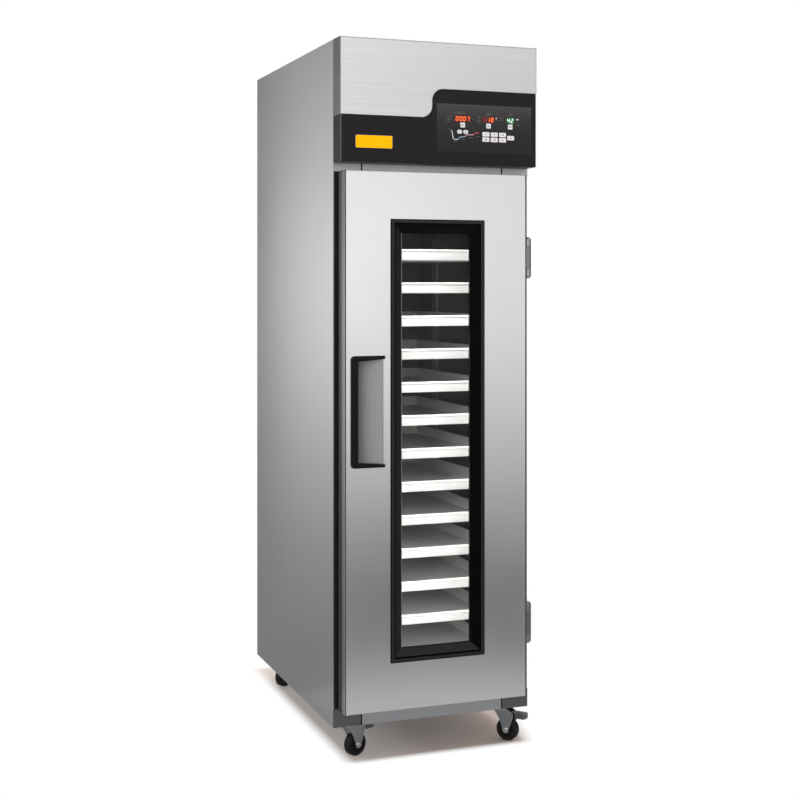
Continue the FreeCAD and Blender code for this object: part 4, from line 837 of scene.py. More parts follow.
MOTOR_GREY = MouldedPlastic("motor_grey", (0.16, 0.165, 0.17), 0.42, pits=900.0, dust=0.2)
HEATER_DARK = PlatedSteel("heater_dark", (0.20, 0.18, 0.17), 0.40, flake=600.0, dust=0.0)
DISPLAY_SMOKE = MouldedPlastic("display_smoke", (0.012, 0.008, 0.008), 0.16, pits=3000.0,
                               pit_depth=0.001 * MM, rub_and_sheen=0.0, coat=0.5)
BADGE_NAVY = MouldedPlastic("badge_navy", (0.006, 0.010, 0.11), 0.40, pits=3000.0, pit_depth=0.003 * MM,
                            rub_and_sheen=0.0, gloss=0.1)
BADGE_AMBER = MouldedPlastic("badge_amber", (0.97, 0.53, 0.002), 0.50, pits=2600.0, pit_depth=0.003 * MM,
                             rub_and_sheen_colour=(0.97, 0.62, 0.02), gloss=0.05)
KEY_INK = ink("key_ink", (0.16, 0.20, 0.34))
INK_WHITE = ink("ink_white", (0.72, 0.74, 0.76))
INK_BLUE = ink("ink_blue", (0.30, 0.55, 0.70))
INK_PINK = ink("ink_pink", (0.72, 0.42, 0.48))
INK_RED = ink("ink_red", (0.55, 0.10, 0.14))
INK_GREY = ink("ink_grey", (0.13, 0.13, 0.13))
PANE_GLASS = ClearGlass("pane_glass", (0.985, 0.987, 0.986), 0.0)
LAMP_GLOW = Lit("lamp_glow", (1.0, 0.93, 0.80), 0.4, glow=3.0)
RED_GLOW = Lit("red_glow", (1.0, 0.14, 0.015), 0.3, glow=1.8)
GREEN_GLOW = Lit("green_glow", (0.72, 0.95, 0.80), 0.3, glow=1.2)
GREEN_FIELD = Lit("green_field", (0.003, 0.13, 0.035), 0.3, glow=0.35)
RED_FIELD = Lit("red_field", (0.10, 0.005, 0.004), 0.3, glow=0.4)
RED_DIM = MouldedPlastic("red_dim", (0.10, 0.012, 0.010), 0.3, pits=3000.0, pit_depth=0.001 * MM, rub_and_sheen=0.0)
GREEN_DIM = MouldedPlastic("green_dim", (0.004, 0.12, 0.035), 0.3, pits=3000.0, pit_depth=0.001 * MM, rub_and_sheen=0.0)

NODE_FINISHES: dict[str, Finish] = {
    "side_panels": SIDE_STEEL, "top_panel": ROOF_STEEL, "back_panel": SIDE_STEEL, "base_pan": ZINC_SHEET,
    "front_bars": BAR_STEEL, "breaker_frame": BREAKER_BLACK, "inner_liner": SHADED_LINER_STEEL, "insulation": FOAM,
    "machine_deck": ZINC_SHEET, "head_fascia": HEAD_STEEL, "control_panel": PANEL_BLACK,
    "displays": DISPLAY_SMOKE, "control_board": BOARD_GREEN, "badge_plate": BADGE_NAVY,
    "tray_racks": RACK_STEEL, "trays": TRAY_ALUMINIUM, "duct_panel": SHADED_DUCT_STEEL, "fan_motor": MOTOR_GREY,
    "circulation_fan": FIN_ALUMINIUM, "heater": HEATER_DARK, "water_pan": SHADED_LINER_STEEL,
    "chamber_lamps": LAMP_GLOW, "compressor": CAN_ENAMEL, "condenser": FIN_ALUMINIUM,
    "cord_gland": BREAKER_BLACK, "hinge_brackets": HINGE_METAL, "caster_plates": CASTER_ZINC,
    "door_skin": DOOR_STEEL, "door_liner": SHADED_LINER_STEEL, "door_foam": FOAM, "window_frame": FRAME_BLACK,
    "window_panes": PANE_GLASS, "window_retainer": BREAKER_BLACK, "door_gasket": SEAL_RUBBER,
    "handle_bezel": GRIP_BLACK, "handle_pocket": SHADED_POCKET_STEEL, "hinge_straps": STRAP_METAL,
}
TAIL_FINISHES: dict[str, Finish] = {
    "key": KEY_WHITE, "fork": CASTER_ZINC, "wheel": TYRE_RUBBER, "pedal": PEDAL_ZINC,
}


def turned_loop(radius: float, height: float, place: Matrix, steps: int) -> list[Vector]:
    """Loop of points about the Z axis of a placement, at a height."""
    turns = (2 * math.pi * step / steps for step in range(steps))
    return [place @ Vector((radius * math.cos(turn), radius * math.sin(turn), height)) for turn in turns]


class Shape:
    """Points and faces of one piece while it is being built."""

    def __init__(self) -> None:
        """Start an empty piece."""
        self.mesh = bmesh.new()

    def face(self, corners: Sequence[bmesh.types.BMVert], finish: int) -> None:
        """Add one face with the number of its finish."""
        self.mesh.faces.new(corners).material_index = finish

    def loft(self, loops: Sequence[Sequence[Vector]], finish: int = 0, wrap: bool = False,
             bands: Optional[Sequence[Sequence[int]]] = None) -> None:
        """Join closed loops of as many points each into a skin.

        Args:
            loops: The loops, in order.
            finish: Number of the finish.
            wrap: Whether the last loop meets the first one; else both ends are closed with a face.
            bands: For each stretch between two loops, the finish of the strip after each point,
                where they differ.
        """
        rows = [[self.mesh.verts.new(point) for point in loop] for loop in loops]
        pairs = list(zip(rows, rows[1:] + rows[:1])) if wrap else list(zip(rows, rows[1:]))
        count = len(rows[0])
        for stretch, (row, following) in enumerate(pairs):
            for number in range(count):
                after = (number + 1) % count
                self.face((row[number], row[after], following[after], following[number]),
                          bands[stretch][number] if bands else finish)
        if not wrap:
            self.face(rows[0][::-1], finish)
            self.face(rows[-1], finish)

    def slab(self, outline: Sequence[Flat], near: float, far: float, finish: int = 0) -> None:
        """Upright plate over an outline of (x, z) between two depths along Y."""
        self.loft([[Vector((x, y, z)) for x, z in outline] for y in (near, far)], finish)

    def lathe(self, profile: Sequence[Flat], place: Matrix, steps: int, finish: int = 0,
              wrap: bool = False) -> None:
        """Turn a profile about the Z axis of a placement.

        Args:
            profile: The radius and height of each point.
            place: The placement.
            steps: Number of points on each circle.
            finish: Number of the finish.
            wrap: Whether the profile is closed.
        """
        loops = [turned_loop(radius, height, place, steps) for radius, height in profile]
        self.loft(loops, finish, wrap)

    def piece(self, name: str, body: str, finishes: Sequence[Finish],
              stands_for: Sequence[str] = (), rounding: float = 0.0,
              sharp: float = 35.0) -> bpy.types.Object:
        """Finish the mesh as a piece that rides on a body.

        Args:
            name: The piece's name.
            body: The body that it rides on.
            finishes: Its finishes, by the numbers used for its faces.
            stands_for: Nodes that the piece is shown instead of.
            rounding: Width of a bevel on its sharp edges, or zero.
            sharp: Angle in degrees past which an edge stays sharp.

        Returns:
            The new object.
        """
        bmesh.ops.remove_doubles(self.mesh, verts=self.mesh.verts, dist=MERGE_DISTANCE)
        bmesh.ops.recalc_face_normals(self.mesh, faces=self.mesh.faces)
        limit = math.radians(sharp)
        for edge in self.mesh.edges:
            edge.smooth = len(edge.link_faces) == 2 and edge.calc_face_angle() < limit
        for face in self.mesh.faces:
            face.smooth = True
        mesh = bpy.data.meshes.new(name)
        self.mesh.to_mesh(mesh)
        self.mesh.free()
        for finish in finishes:
            mesh.materials.append(finish.material())
        made = bpy.data.objects.new(name, mesh)
        bpy.context.scene.collection.objects.link(made)
        if rounding:
            bevel = made.modifiers.new("rounding", "BEVEL")
            bevel.width = rounding
            bevel.segments = ROUNDING_SEGMENTS
            bevel.limit_method = "ANGLE"
            bevel.angle_limit = limit
        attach(made, body)
        if stands_for:
            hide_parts(*stands_for)
        log.info("%s on %s: %d faces", name, body, len(mesh.polygons))
        return made


def arc(centre: Flat, radius: float, start: float, end: float, steps: int) -> list[Flat]:
    """Points on a circle between two angles in degrees, ends included."""
    turns = [math.radians(start + (end - start) * step / steps) for step in range(steps + 1)]
    return [(centre[0] + radius * math.cos(turn), centre[1] + radius * math.sin(turn)) for turn in turns]


def round_rect(low: Flat, high: Flat, radius: float, steps: int = 5) -> list[Flat]:
    """Outline of a rectangle with round corners, turning left.

    Args:
        low: Its lower left corner.
        high: Its upper right corner.
        radius: Radius of its corners.
        steps: Number of steps round a corner.

    Returns:
        The outline's points.
    """
    corners = (
        ((high[0] - radius, low[1] + radius), 270.0), ((high[0] - radius, high[1] - radius), 0.0),
        ((low[0] + radius, high[1] - radius), 90.0), ((low[0] + radius, low[1] + radius), 180.0),
    )
    return [point for centre, start in corners for point in arc(centre, radius, start, start + 90.0, steps)]


def ribbon(points: Sequence[Flat], width: float) -> list[Flat]:
    """Outline of a band along a line of points, mitred at its bends.

    Args:
        points: The line.
        width: Width of the band.

    Returns:
        The outline's points.
    """
    sides: list[list[Flat]] = [[], []]
    for number, (x, z) in enumerate(points):
        before = Vector(points[max(number - 1, 0)])
        after = Vector(points[min(number + 1, len(points) - 1)])
        along = (after - before).normalized()
        across = Vector((-along.y, along.x)) * (width / 2)
        sides[0].append((x + across.x, z + across.y))
        sides[1].append((x - across.x, z - across.y))
    return sides[0] + sides[1][::-1]


def outward(place: Vector, direction: Vector) -> Matrix:
    """Placement whose Z axis points along a direction."""
    return Matrix.Translation(place) @ direction.to_track_quat("Z", "Y").to_matrix().to_4x4()


@dataclass
class Screws:
    """Button-head screws with a six-sided socket, as one piece for each group."""

    head: float = 4.0 * MM
    height: float = 2.0 * MM
    socket: float = 1.9 * MM
    socket_depth: float = 1.2 * MM
    steps: int = 24
    dome: tuple[Flat, ...] = ((1.0, 0.0), (1.0, 0.25), (0.9, 0.6), (0.72, 0.88), (0.56, 1.0))

    def hexagon(self, height: float, place: Matrix) -> list[Vector]:
        """Loop of the socket's six sides.

        Args:
            height: Height of the loop.
            place: Placement of the screw.

        Returns:
            The loop's points.
        """
        loop = []
        for step in range(self.steps):
            turn = 2 * math.pi * step / self.steps
            reach = self.socket * math.cos(math.pi / 6) / math.cos((turn % (math.pi / 3)) - math.pi / 6)
            loop.append(place @ Vector((reach * math.cos(turn), reach * math.sin(turn), height)))
        return loop

    def add(self, shape: Shape, place: Matrix) -> None:
        """Add one screw head that stands out of a surface.

        Args:
            shape: The piece to add it to.
            place: Placement of the screw.
        """
        loops = [turned_loop(self.head * reach, self.height * rise, place, self.steps)
                 for reach, rise in self.dome]
        for height in (self.height, self.height - self.socket_depth):
            loops.append(self.hexagon(height, place))
        shape.loft(loops)

    def build(self, name: str, body: str, places: Iterable[tuple[Vector, Vector]]) -> None:
        """Make a group of screws.

        Args:
            name: The piece's name.
            body: The body that it rides on.
            places: Point on the surface and outward direction of each screw.
        """
        shape = Shape()
        for point, direction in places:
            self.add(shape, outward(point, direction))
        shape.piece(name, body, [SCREW_STEEL])


def islands(node: str) -> list[tuple[Vector, Vector]]:
    """Find a node's separate solids.

    Args:
        node: The node's name.

    Returns:
        Lowest and highest corner of each solid, in order of X.
    """
    mesh = frame["nodes"][node].data
    work = bmesh.new()
    work.from_mesh(mesh)
    bmesh.ops.remove_doubles(work, verts=work.verts, dist=MERGE_DISTANCE)
    left = set(work.verts)
    boxes = []
    while left:
        group = [left.pop()]
        for vert in group:
            linked = {edge.other_vert(vert) for edge in vert.link_edges} & left
            left -= linked
            group.extend(linked)
        axes = list(zip(*(vert.co for vert in group)))
        boxes.append((Vector([min(axis) for axis in axes]), Vector([max(axis) for axis in axes])))
    work.free()
    return sorted(boxes, key=lambda box: box[0].x)


@dataclass
class DoorTrim:
    """Window moulding, grip and hinge screws of the door."""

    flange: float = 10.0 * MM
    outer: float = 2.2 * MM
    step: float = 3.0 * MM
    seat: float = 11.0 * MM
    bevel: float = 35.0 * MM
    ledge: float = 3.6 * MM
    lip: float = 2.0 * MM
    proud: float = 2.5 * MM
    bar: float = 18.4 * MM
    arm_root: float = 14.0 * MM
    arm_tip: float = 8.0 * MM
    corner: float = 10.0 * MM
    corner_steps: int = 8
    bead: float = 0.4 * MM
    grip_round: float = 1.4 * MM
    strap_leaf: float = 4.0 * MM
    screw_inset: float = 3.5 * MM
    screw_rise: float = 18.0 * MM

    def moulding(self) -> None:
        """Make the mitred window moulding: a flange, a step, a bevel and a lip at the glass, pale on the
        left. Its strips take lit and shaded copies of the black: painted shade darkens the gaps, the steps,
        the bevels above and on the right, and the lip everywhere but on the left.
        """
        low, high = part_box("window_frame")
        deep = high.y - low.y
        bead = self.bead
        end = self.bevel - self.lip
        section = [
            (0.0, self.proud, "gap"), (0.0, 2 * bead, "gap"), (self.outer, 0.0, "flange"),
            (self.flange - bead, 0.0, "step"), (self.flange, bead, "step"), (self.flange, self.step, "gap"),
            (self.flange + self.ledge, self.step, "bevel"), (end - bead, deep - 3 * bead, "gap"),
            (end, deep - 3 * bead, "gap"), (end, deep - 2 * bead, "lip"), (self.bevel, deep - bead, "lip"),
            (self.bevel, deep, "gap"), (self.seat, deep, "gap"), (self.seat, self.proud, "gap"),
        ]
        # Painted shade darkens the gaps, every step but the right one, the bevel above and, deeper, the one
        # on the right, and the lip on all sides but the left, where it stays pale; the bevel below and on the
        # left keeps a lighter black.
        below = {"flange": FRAME_BLACK, "gap": FRAME_GROOVE_SHADE, "step": FRAME_GROOVE_SHADE, "bevel": FRAME_BEVEL,
                 "lip": FRAME_GROOVE_SHADE}
        right = {**below, "step": FRAME_BLACK, "bevel": FRAME_GROOVE_SHADE}
        above = {**below, "bevel": FRAME_SHADE}
        left = {**below, "lip": FRAME_LIP}
        finishes = [FRAME_BLACK, FRAME_GROOVE_SHADE, FRAME_LIP, FRAME_BEVEL, FRAME_SHADE]
        sides = (below, right, above, left)
        bands = [[finishes.index(side[part]) for _, _, part in section] for side in sides]
        corners = (((low.x, 1), (low.z, 1)), ((high.x, -1), (low.z, 1)),
                   ((high.x, -1), (high.z, -1)), ((low.x, 1), (high.z, -1)))
        loops = [
            [Vector((x + turn_x * inset, low.y + depth, z + turn_z * inset)) for inset, depth, _ in section]
            for (x, turn_x), (z, turn_z) in corners
        ]
        shape = Shape()
        shape.loft(loops, wrap=True, bands=bands)
        shape.piece("window_moulding", "door", finishes, ["window_frame"], sharp=20.0)

    def grip(self) -> None:
        """Make the C-shaped grip with tapering arms and rounded edges."""
        low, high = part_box("handle_bezel")
        inner = low.x + self.bar
        outline = [(high.x, high.z)]
        x = low.x + self.corner
        for z, start in ((high.z - self.corner, 90.0), (low.z + self.corner, 180.0)):
            outline += arc((x, z), self.corner, start, start + 90.0, self.corner_steps)
        outline += [(high.x, low.z), (high.x, low.z + self.arm_tip), (inner, low.z + self.arm_root),
                    (inner, high.z - self.arm_root), (high.x, high.z - self.arm_tip)]
        shape = Shape()
        shape.slab(outline, low.y, high.y)
        shape.piece("grip", "door", [GRIP_BLACK], ["handle_bezel"],
                    rounding=self.grip_round)

    def hinge_screws(self) -> None:
        """Make the screws of the hinge straps."""
        screws = Screws(head=2.8 * MM, height=1.4 * MM, socket=1.3 * MM, socket_depth=0.8 * MM)
        places = []
        for low, high in islands("hinge_straps"):
            middle = (low.z + high.z) / 2
            for y in (low.y + self.screw_inset, high.y - self.screw_inset):
                for z in (middle - self.screw_rise, middle + self.screw_rise):
                    places.append((Vector((low.x + self.strap_leaf, y, z)), Vector((1, 0, 0))))
        screws.build("strap_screws", "door", places)

    def build(self) -> None:
        """Make the door's trim."""
        self.moulding()
        self.grip()
        self.hinge_screws()


# Numbers of a display's finishes: lit and unlit segments, and the field behind them.
LIT, UNLIT, FIELD = range(3)


@dataclass
class Digits:
    """Seven-segment figures on the display blocks."""

    height: float = 11.6 * MM
    width: float = 6.6 * MM
    pitch: float = 10.4 * MM
    stroke: float = 1.25 * MM
    gap: float = 0.2 * MM
    slant: float = 0.14
    thick: float = 0.15 * MM
    margin: float = 0.6 * MM
    shown: tuple[tuple[str, Finish, Finish, Finish], ...] = (
        ("00.07", RED_GLOW, RED_DIM, RED_FIELD), ("_18", RED_GLOW, RED_DIM, RED_FIELD),
        ("42", GREEN_GLOW, GREEN_DIM, GREEN_FIELD),
    )
    lit: dict[str, str] = field(default_factory=lambda: {
        "0": "abcdef", "1": "bc", "2": "abdeg", "4": "bcfg", "7": "abc", "8": "abcdefg", "_": "",
    })

    def segments(self) -> dict[str, list[Flat]]:
        """Draw the seven segments.

        Returns:
            The outline of each segment, from the digit's lower left corner.
        """
        half = self.stroke / 2
        middle = self.height / 2
        flat = {"d": half, "g": middle, "a": self.height - half}
        upright = {
            "e": (half, half, middle), "f": (half, middle, self.height - half),
            "c": (self.width - half, half, middle), "b": (self.width - half, middle, self.height - half),
        }
        made = {}
        for name, z in flat.items():
            x0, x1 = half + self.gap, self.width - half - self.gap
            made[name] = [(x0, z), (x0 + half, z - half), (x1 - half, z - half), (x1, z),
                          (x1 - half, z + half), (x0 + half, z + half)]
        for name, (x, low, high) in upright.items():
            z0, z1 = low + self.gap, high - self.gap
            made[name] = [(x, z0), (x + half, z0 + half), (x + half, z1 - half), (x, z1),
                          (x - half, z1 - half), (x - half, z0 + half)]
        return made

    def figure(self, shape: Shape, sign: str, x: float, z: float, front: float) -> None:
        """Add one digit with its lit and unlit segments.

        Args:
            shape: The piece to add it to.
            sign: The digit.
            x: Left end of the digit.
            z: Its foot.
            front: Depth of the face that it lies on.
        """
        for name, outline in self.segments().items():
            leaning = [(x + u + self.slant * v, z + v) for u, v in outline]
            shape.slab(leaning, front - self.thick, front, LIT if name in self.lit[sign] else UNLIT)

    def build(self) -> None:
        """Make the figures of every display."""
        displays = zip(islands("displays"), self.shown)
        for number, ((low, high), (text, glow, dim, field_glow)) in enumerate(displays):
            count = len(text.replace(".", ""))
            x = (low.x + high.x - (count - 1) * self.pitch - self.width - self.slant * self.height) / 2
            z = (low.z + high.z - self.height) / 2
            shape = Shape()
            front = low.y - self.thick
            corner = (low.x + self.margin, low.z + self.margin)
            far = (high.x - self.margin, high.z - self.margin)
            shape.slab(round_rect(corner, far, 2 * self.margin), front, low.y, FIELD)
            for sign in text:
                if sign == ".":
                    dot = x - (self.pitch - self.width) / 2
                    shape.slab(arc((dot, z + self.stroke / 2), self.stroke / 2, 0.0, 315.0, 7),
                               front - self.thick, front, LIT)
                    continue
                self.figure(shape, sign, x, z, front)
                x += self.pitch
            shape.piece(f"figures_{number + 1}", "cabinet", [glow, dim, field_glow])


@dataclass
class PlatePrint:
    """Thin printed marks on the operating plate, measured from the lower left of its face."""

    lip: float = 4.0 * MM
    thick: float = 0.12 * MM
    line: float = 1.9 * MM
    stretches: tuple[tuple[Finish, tuple[Flat, ...]], ...] = (
        (INK_WHITE, ((39.0, 54.0), (42.0, 51.0), (45.0, 33.5), (48.0, 31.2), (58.0, 31.0))),
        (INK_BLUE, ((58.0, 31.0), (64.0, 37.0), (77.0, 38.7))),
        (INK_PINK, ((77.0, 38.7), (83.0, 43.8), (100.5, 44.4))),
        (INK_RED, ((100.5, 44.4), (107.0, 49.6), (116.5, 49.6))),
    )
    captions: tuple[tuple[float, float, float], ...] = (
        (27.0, 90.5, 15.0), (27.0, 85.5, 12.0), (27.0, 80.5, 15.0), (27.0, 75.5, 11.0),
        (55.0, 101.0, 16.0), (47.0, 97.5, 34.0), (97.5, 84.0, 5.0), (110.0, 91.0, 12.0),
        (112.0, 86.0, 10.0), (110.0, 81.0, 12.0), (112.0, 76.0, 10.0), (139.0, 100.5, 12.0),
        (134.0, 97.0, 20.0), (177.0, 89.0, 10.0), (177.0, 84.0, 10.0), (202.0, 100.5, 10.0),
        (198.0, 97.0, 17.0), (223.0, 74.0, 9.0), (28.0, 56.5, 8.0), (45.0, 25.5, 14.0),
        (66.0, 30.5, 11.0), (89.0, 35.5, 12.0), (107.0, 40.0, 11.0),
    )
    caption: float = 1.1 * MM
    marks: tuple[tuple[Finish, float, float, float, float], ...] = (
        (INK_WHITE, 164.2, 88.4, 3.2, 3.0), (INK_RED, 164.2, 84.6, 3.2, 2.8),
        (INK_WHITE, 222.6, 86.8, 6.2, 3.4),
    )

    def build(self) -> None:
        """Make the process line, the plain caption bars and the marks beside the displays."""
        low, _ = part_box("overlay_plate")
        x0 = low.x + self.lip
        z0 = low.z + self.lip
        front = low.y - self.thick
        line = Shape()
        for number, (_, points) in enumerate(self.stretches):
            placed = [(x0 + u * MM, z0 + v * MM) for u, v in points]
            line.slab(ribbon(placed, self.line), front, low.y, number)
        line.piece("process_line", "cabinet", [finish for finish, _ in self.stretches])
        bars = Shape()
        for u, v, length in self.captions:
            corner = (x0 + u * MM, z0 + v * MM)
            far = (corner[0] + length * MM, corner[1] + self.caption)
            bars.slab(round_rect(corner, far, self.caption / 3, 2), front, low.y)
        bars.piece("caption_bars", "cabinet", [INK_GREY])
        marks = Shape()
        for number, (_, u, v, width, height) in enumerate(self.marks):
            corner = (x0 + u * MM, z0 + v * MM)
            far = (corner[0] + width * MM, corner[1] + height * MM)
            marks.slab(round_rect(corner, far, self.caption / 2, 3), front, low.y, number)
        marks.piece("display_marks", "cabinet", [finish for finish, *_ in self.marks])


def block(left: float, low: float, right: float, high: float) -> tuple[Flat, ...]:
    """Outline of a rectangle."""
    return (left, low), (right, low), (right, high), (left, high)


class Sign(Enum):
    """Plain marks on the keys, as outlines about their middle in units of the mark's size."""

    SQUARE = (block(-0.8, -0.8, 0.8, 0.8),)
    PLAY = (((-0.6, -0.9), (0.9, 0.0), (-0.6, 0.9)),)
    UP = (((-0.9, -0.6), (0.9, -0.6), (0.0, 0.9)),)
    DOWN = (((-0.9, 0.6), (0.0, -0.9), (0.9, 0.6)),)
    BARS = (block(-1.6, -0.7, 1.6, -0.2), block(-1.6, 0.2, 0.9, 0.7))
    DASH = (block(-1.4, -0.35, 1.4, 0.35),)
    STEPS = (block(-1.5, -0.8, -0.7, -0.1), block(-0.4, -0.8, 0.4, 0.4), block(0.7, -0.8, 1.5, 0.9))


@dataclass
class KeyMarks:
    """Small plain marks on the keys, one piece on each key."""

    size: float = 2.3 * MM
    thick: float = 0.1 * MM
    signs: dict[str, Sign] = field(default_factory=lambda: {
        "set_key_1": Sign.BARS, "set_key_2": Sign.BARS, "set_key_3": Sign.BARS, "start_key": Sign.PLAY,
        "stop_key": Sign.SQUARE, "pad_key_1": Sign.UP, "pad_key_2": Sign.DOWN, "pad_key_3": Sign.STEPS,
        "pad_key_4": Sign.BARS, "pad_key_5": Sign.STEPS, "pad_key_6": Sign.DASH, "pad_key_7": Sign.DASH,
    })

    def build(self) -> None:
        """Make the mark of every key."""
        for key, sign in self.signs.items():
            low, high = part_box(key)
            centre = (low + high) / 2
            shape = Shape()
            for outline in sign.value:
                shape.slab([(centre.x + self.size * u, centre.z + self.size * v) for u, v in outline],
                           low.y - self.thick, low.y)
            shape.piece(f"{key}_mark", key, [KEY_INK])


@dataclass
class Badge:
    """Amber field on the dark plate, left blank."""

    rim: float = 2.1 * MM
    corner: float = 3.0 * MM
    thick: float = 0.6 * MM
    rounding: float = 0.3 * MM

    def build(self) -> None:
        """Make the amber field."""
        low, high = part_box("badge_plate")
        corner = (low.x + self.rim, low.z + self.rim)
        far = (high.x - self.rim, high.z - self.rim)
        shape = Shape()
        shape.slab(round_rect(corner, far, self.corner), low.y - self.thick, low.y)
        shape.piece("badge_field", "cabinet", [BADGE_AMBER], rounding=self.rounding)


@dataclass
class TrayStack:
    """Trays with leaning walls and rolled rims."""

    count: int = 13
    height: float = 28.0 * MM
    corner: float = 28.0 * MM
    corner_steps: int = 6
    profile: tuple[Flat, ...] = (
        (13.0, 0.0), (11.7, 0.4), (10.9, 1.6), (7.1, 22.2), (2.4, 22.1), (0.9, 22.6), (0.0, 23.8),
        (0.0, 26.0), (0.7, 27.4), (2.4, 28.0), (4.8, 28.0), (6.6, 27.3), (7.5, 25.8), (11.9, 2.8),
        (12.8, 1.6), (14.2, 1.2),
    )

    def bases(self) -> list[float]:
        """Heights of the undersides of the trays.

        Returns:
            The heights, from the lowest tray up.
        """
        low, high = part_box("trays")
        pitch = (high.z - low.z - self.height) / (self.count - 1)
        return [low.z + number * pitch for number in range(self.count)]

    def loop(self, low: Vector, high: Vector, inset: float, z: float) -> list[Vector]:
        """Level loop with round corners.

        Args:
            low: Lowest corner of the trays' box.
            high: Highest corner of the trays' box.
            inset: How far the loop lies in from the rim.
            z: Its height.

        Returns:
            The loop's points.
        """
        outline = round_rect((low.x + inset, low.y + inset), (high.x - inset, high.y - inset),
                             self.corner - inset, self.corner_steps)
        return [Vector((x, y, z)) for x, y in outline]

    def build(self) -> None:
        """Make the stack."""
        low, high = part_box("trays")
        shape = Shape()
        for base in self.bases():
            shape.loft([self.loop(low, high, inset * MM, base + z * MM) for inset, z in self.profile])
        shape.piece("tray_stack", "cabinet", [TRAY_ALUMINIUM], ["trays"])


def mirrored(side: Sequence[Flat]) -> list[Flat]:
    """Closed section of one side and its mirror image across the middle of a wheel."""
    return [*side, *((radius, -height) for radius, height in side[::-1])]


@dataclass
class Caster:
    """Wheel and axle ends of one caster.

    Sections are pairs of a radius and a distance along the axle, in millimetres: the core from
    bore to rim, with a hub and a ring on its dished web, the tyre's sidewall from rim to
    shoulder, with its bead line, and the cap from its edge to the dimple in its middle.
    """

    place: str
    radius: float = 30.0 * MM
    half: float = 11.0 * MM
    shoulder: float = 4.5 * MM
    hub: float = 9.5 * MM
    steps: int = 64
    cap_steps: int = 32
    crown_steps: int = 6
    crown_start: float = 80.0
    core: tuple[Flat, ...] = (
        (4.3, 12.0), (8.5, 12.0), (9.5, 11.0), (10.1, 5.5), (13.5, 5.5), (14.0, 7.4), (15.4, 7.4),
        (16.0, 5.5), (18.5, 5.5), (19.2, 10.0), (20.4, 10.0),
    )
    sidewall: tuple[Flat, ...] = (
        (20.0, 10.4), (21.2, 11.0), (23.0, 11.0), (23.4, 10.5), (24.0, 10.5), (24.4, 11.0),
    )
    cap: tuple[Flat, ...] = ((6.0, 0.0), (6.0, 0.3), (5.3, 0.9), (4.2, 1.4), (3.4, 1.5), (3.1, 0.9))

    def joint(self, motion: str) -> dict:
        """The caster's joint of one motion."""
        return next(row for row in frame["joints"] if row["name"] == f"{self.place}_{motion}")

    def tyre(self) -> list[Flat]:
        """Draw one side of the tyre.

        Returns:
            Its section from the rim to the middle of the tread.
        """
        centre = (self.radius - self.shoulder, self.half - self.shoulder)
        crown = arc(centre, self.shoulder, self.crown_start, 0.0, self.crown_steps)
        return [(radius * MM, height * MM) for radius, height in self.sidewall] + crown

    def wheel(self) -> None:
        """Make the wheel with its tyre."""
        roll = self.joint("roll")
        place = outward(Vector(roll["pos_m"]), Vector(roll["axis"]))
        core = [(radius * MM, height * MM) for radius, height in self.core]
        finishes = [TYRE_RUBBER, HUB_GREY]
        shape = Shape()
        for finish, side in ((HUB_GREY, core), (TYRE_RUBBER, self.tyre())):
            shape.lathe(mirrored(side), place, self.steps, finishes.index(finish), wrap=True)
        shape.piece(f"{self.place}_tyre", f"{self.place}_wheel", finishes,
                    [f"{self.place}_wheel"])

    def axle_caps(self) -> None:
        """Make the domed ends of the axle bolt."""
        roll = self.joint("roll")
        axis = Vector(roll["axis"]).normalized()
        centre = Vector(roll["pos_m"])
        points = [vert.co - centre for vert in frame["nodes"][f"{self.place}_fork"].data.vertices]
        heads = [point for point in points if (point - axis * point.dot(axis)).length < self.hub]
        end = max(point.dot(axis) for point in heads)
        cap = [(radius * MM, height * MM) for radius, height in self.cap]
        shape = Shape()
        for side in (axis, -axis):
            shape.lathe(cap, outward(centre + side * end, side), self.cap_steps)
        shape.piece(f"{self.place}_axle_caps", f"{self.place}_fork", [SCREW_STEEL])

    def build(self) -> None:
        """Make the caster's pieces."""
        self.wheel()
        self.axle_caps()


@dataclass
class PedalTread:
    """Raised ribs on a brake pedal."""

    place: str
    ribs: int = 5
    pitch: float = 5.0 * MM
    first: float = 52.0 * MM
    length: float = 18.0 * MM
    width: float = 1.6 * MM
    rise: float = 0.8 * MM
    taper: float = 0.4 * MM
    corner: float = 0.35 * MM

    def build(self) -> None:
        """Make the ribs across the pedal, in the direction of its caster."""
        anchors = {row["name"]: row.get("pos_m") for row in frame["joints"]}
        pivot = Vector(anchors[f"{self.place}_swivel"])
        along = Vector(anchors[f"{self.place}_roll"]) - pivot
        along.z = 0.0
        along.normalize()
        across = Vector((-along.y, along.x, 0.0))
        _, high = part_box(f"{self.place}_pedal")
        shape = Shape()
        for number in range(self.ribs):
            middle = pivot + along * (self.first + number * self.pitch)
            loops = []
            for z, shrink in ((high.z, 0.0), (high.z + self.rise, self.taper)):
                ring = round_rect((-self.width / 2 + shrink, -self.length / 2 + shrink),
                                  (self.width / 2 - shrink, self.length / 2 - shrink), self.corner, 3)
                loops.append([Vector((*(middle + along * u + across * v).xy, z)) for u, v in ring])
            shape.loft(loops)
        shape.piece(f"{self.place}_tread", f"{self.place}_pedal", [PEDAL_ZINC])


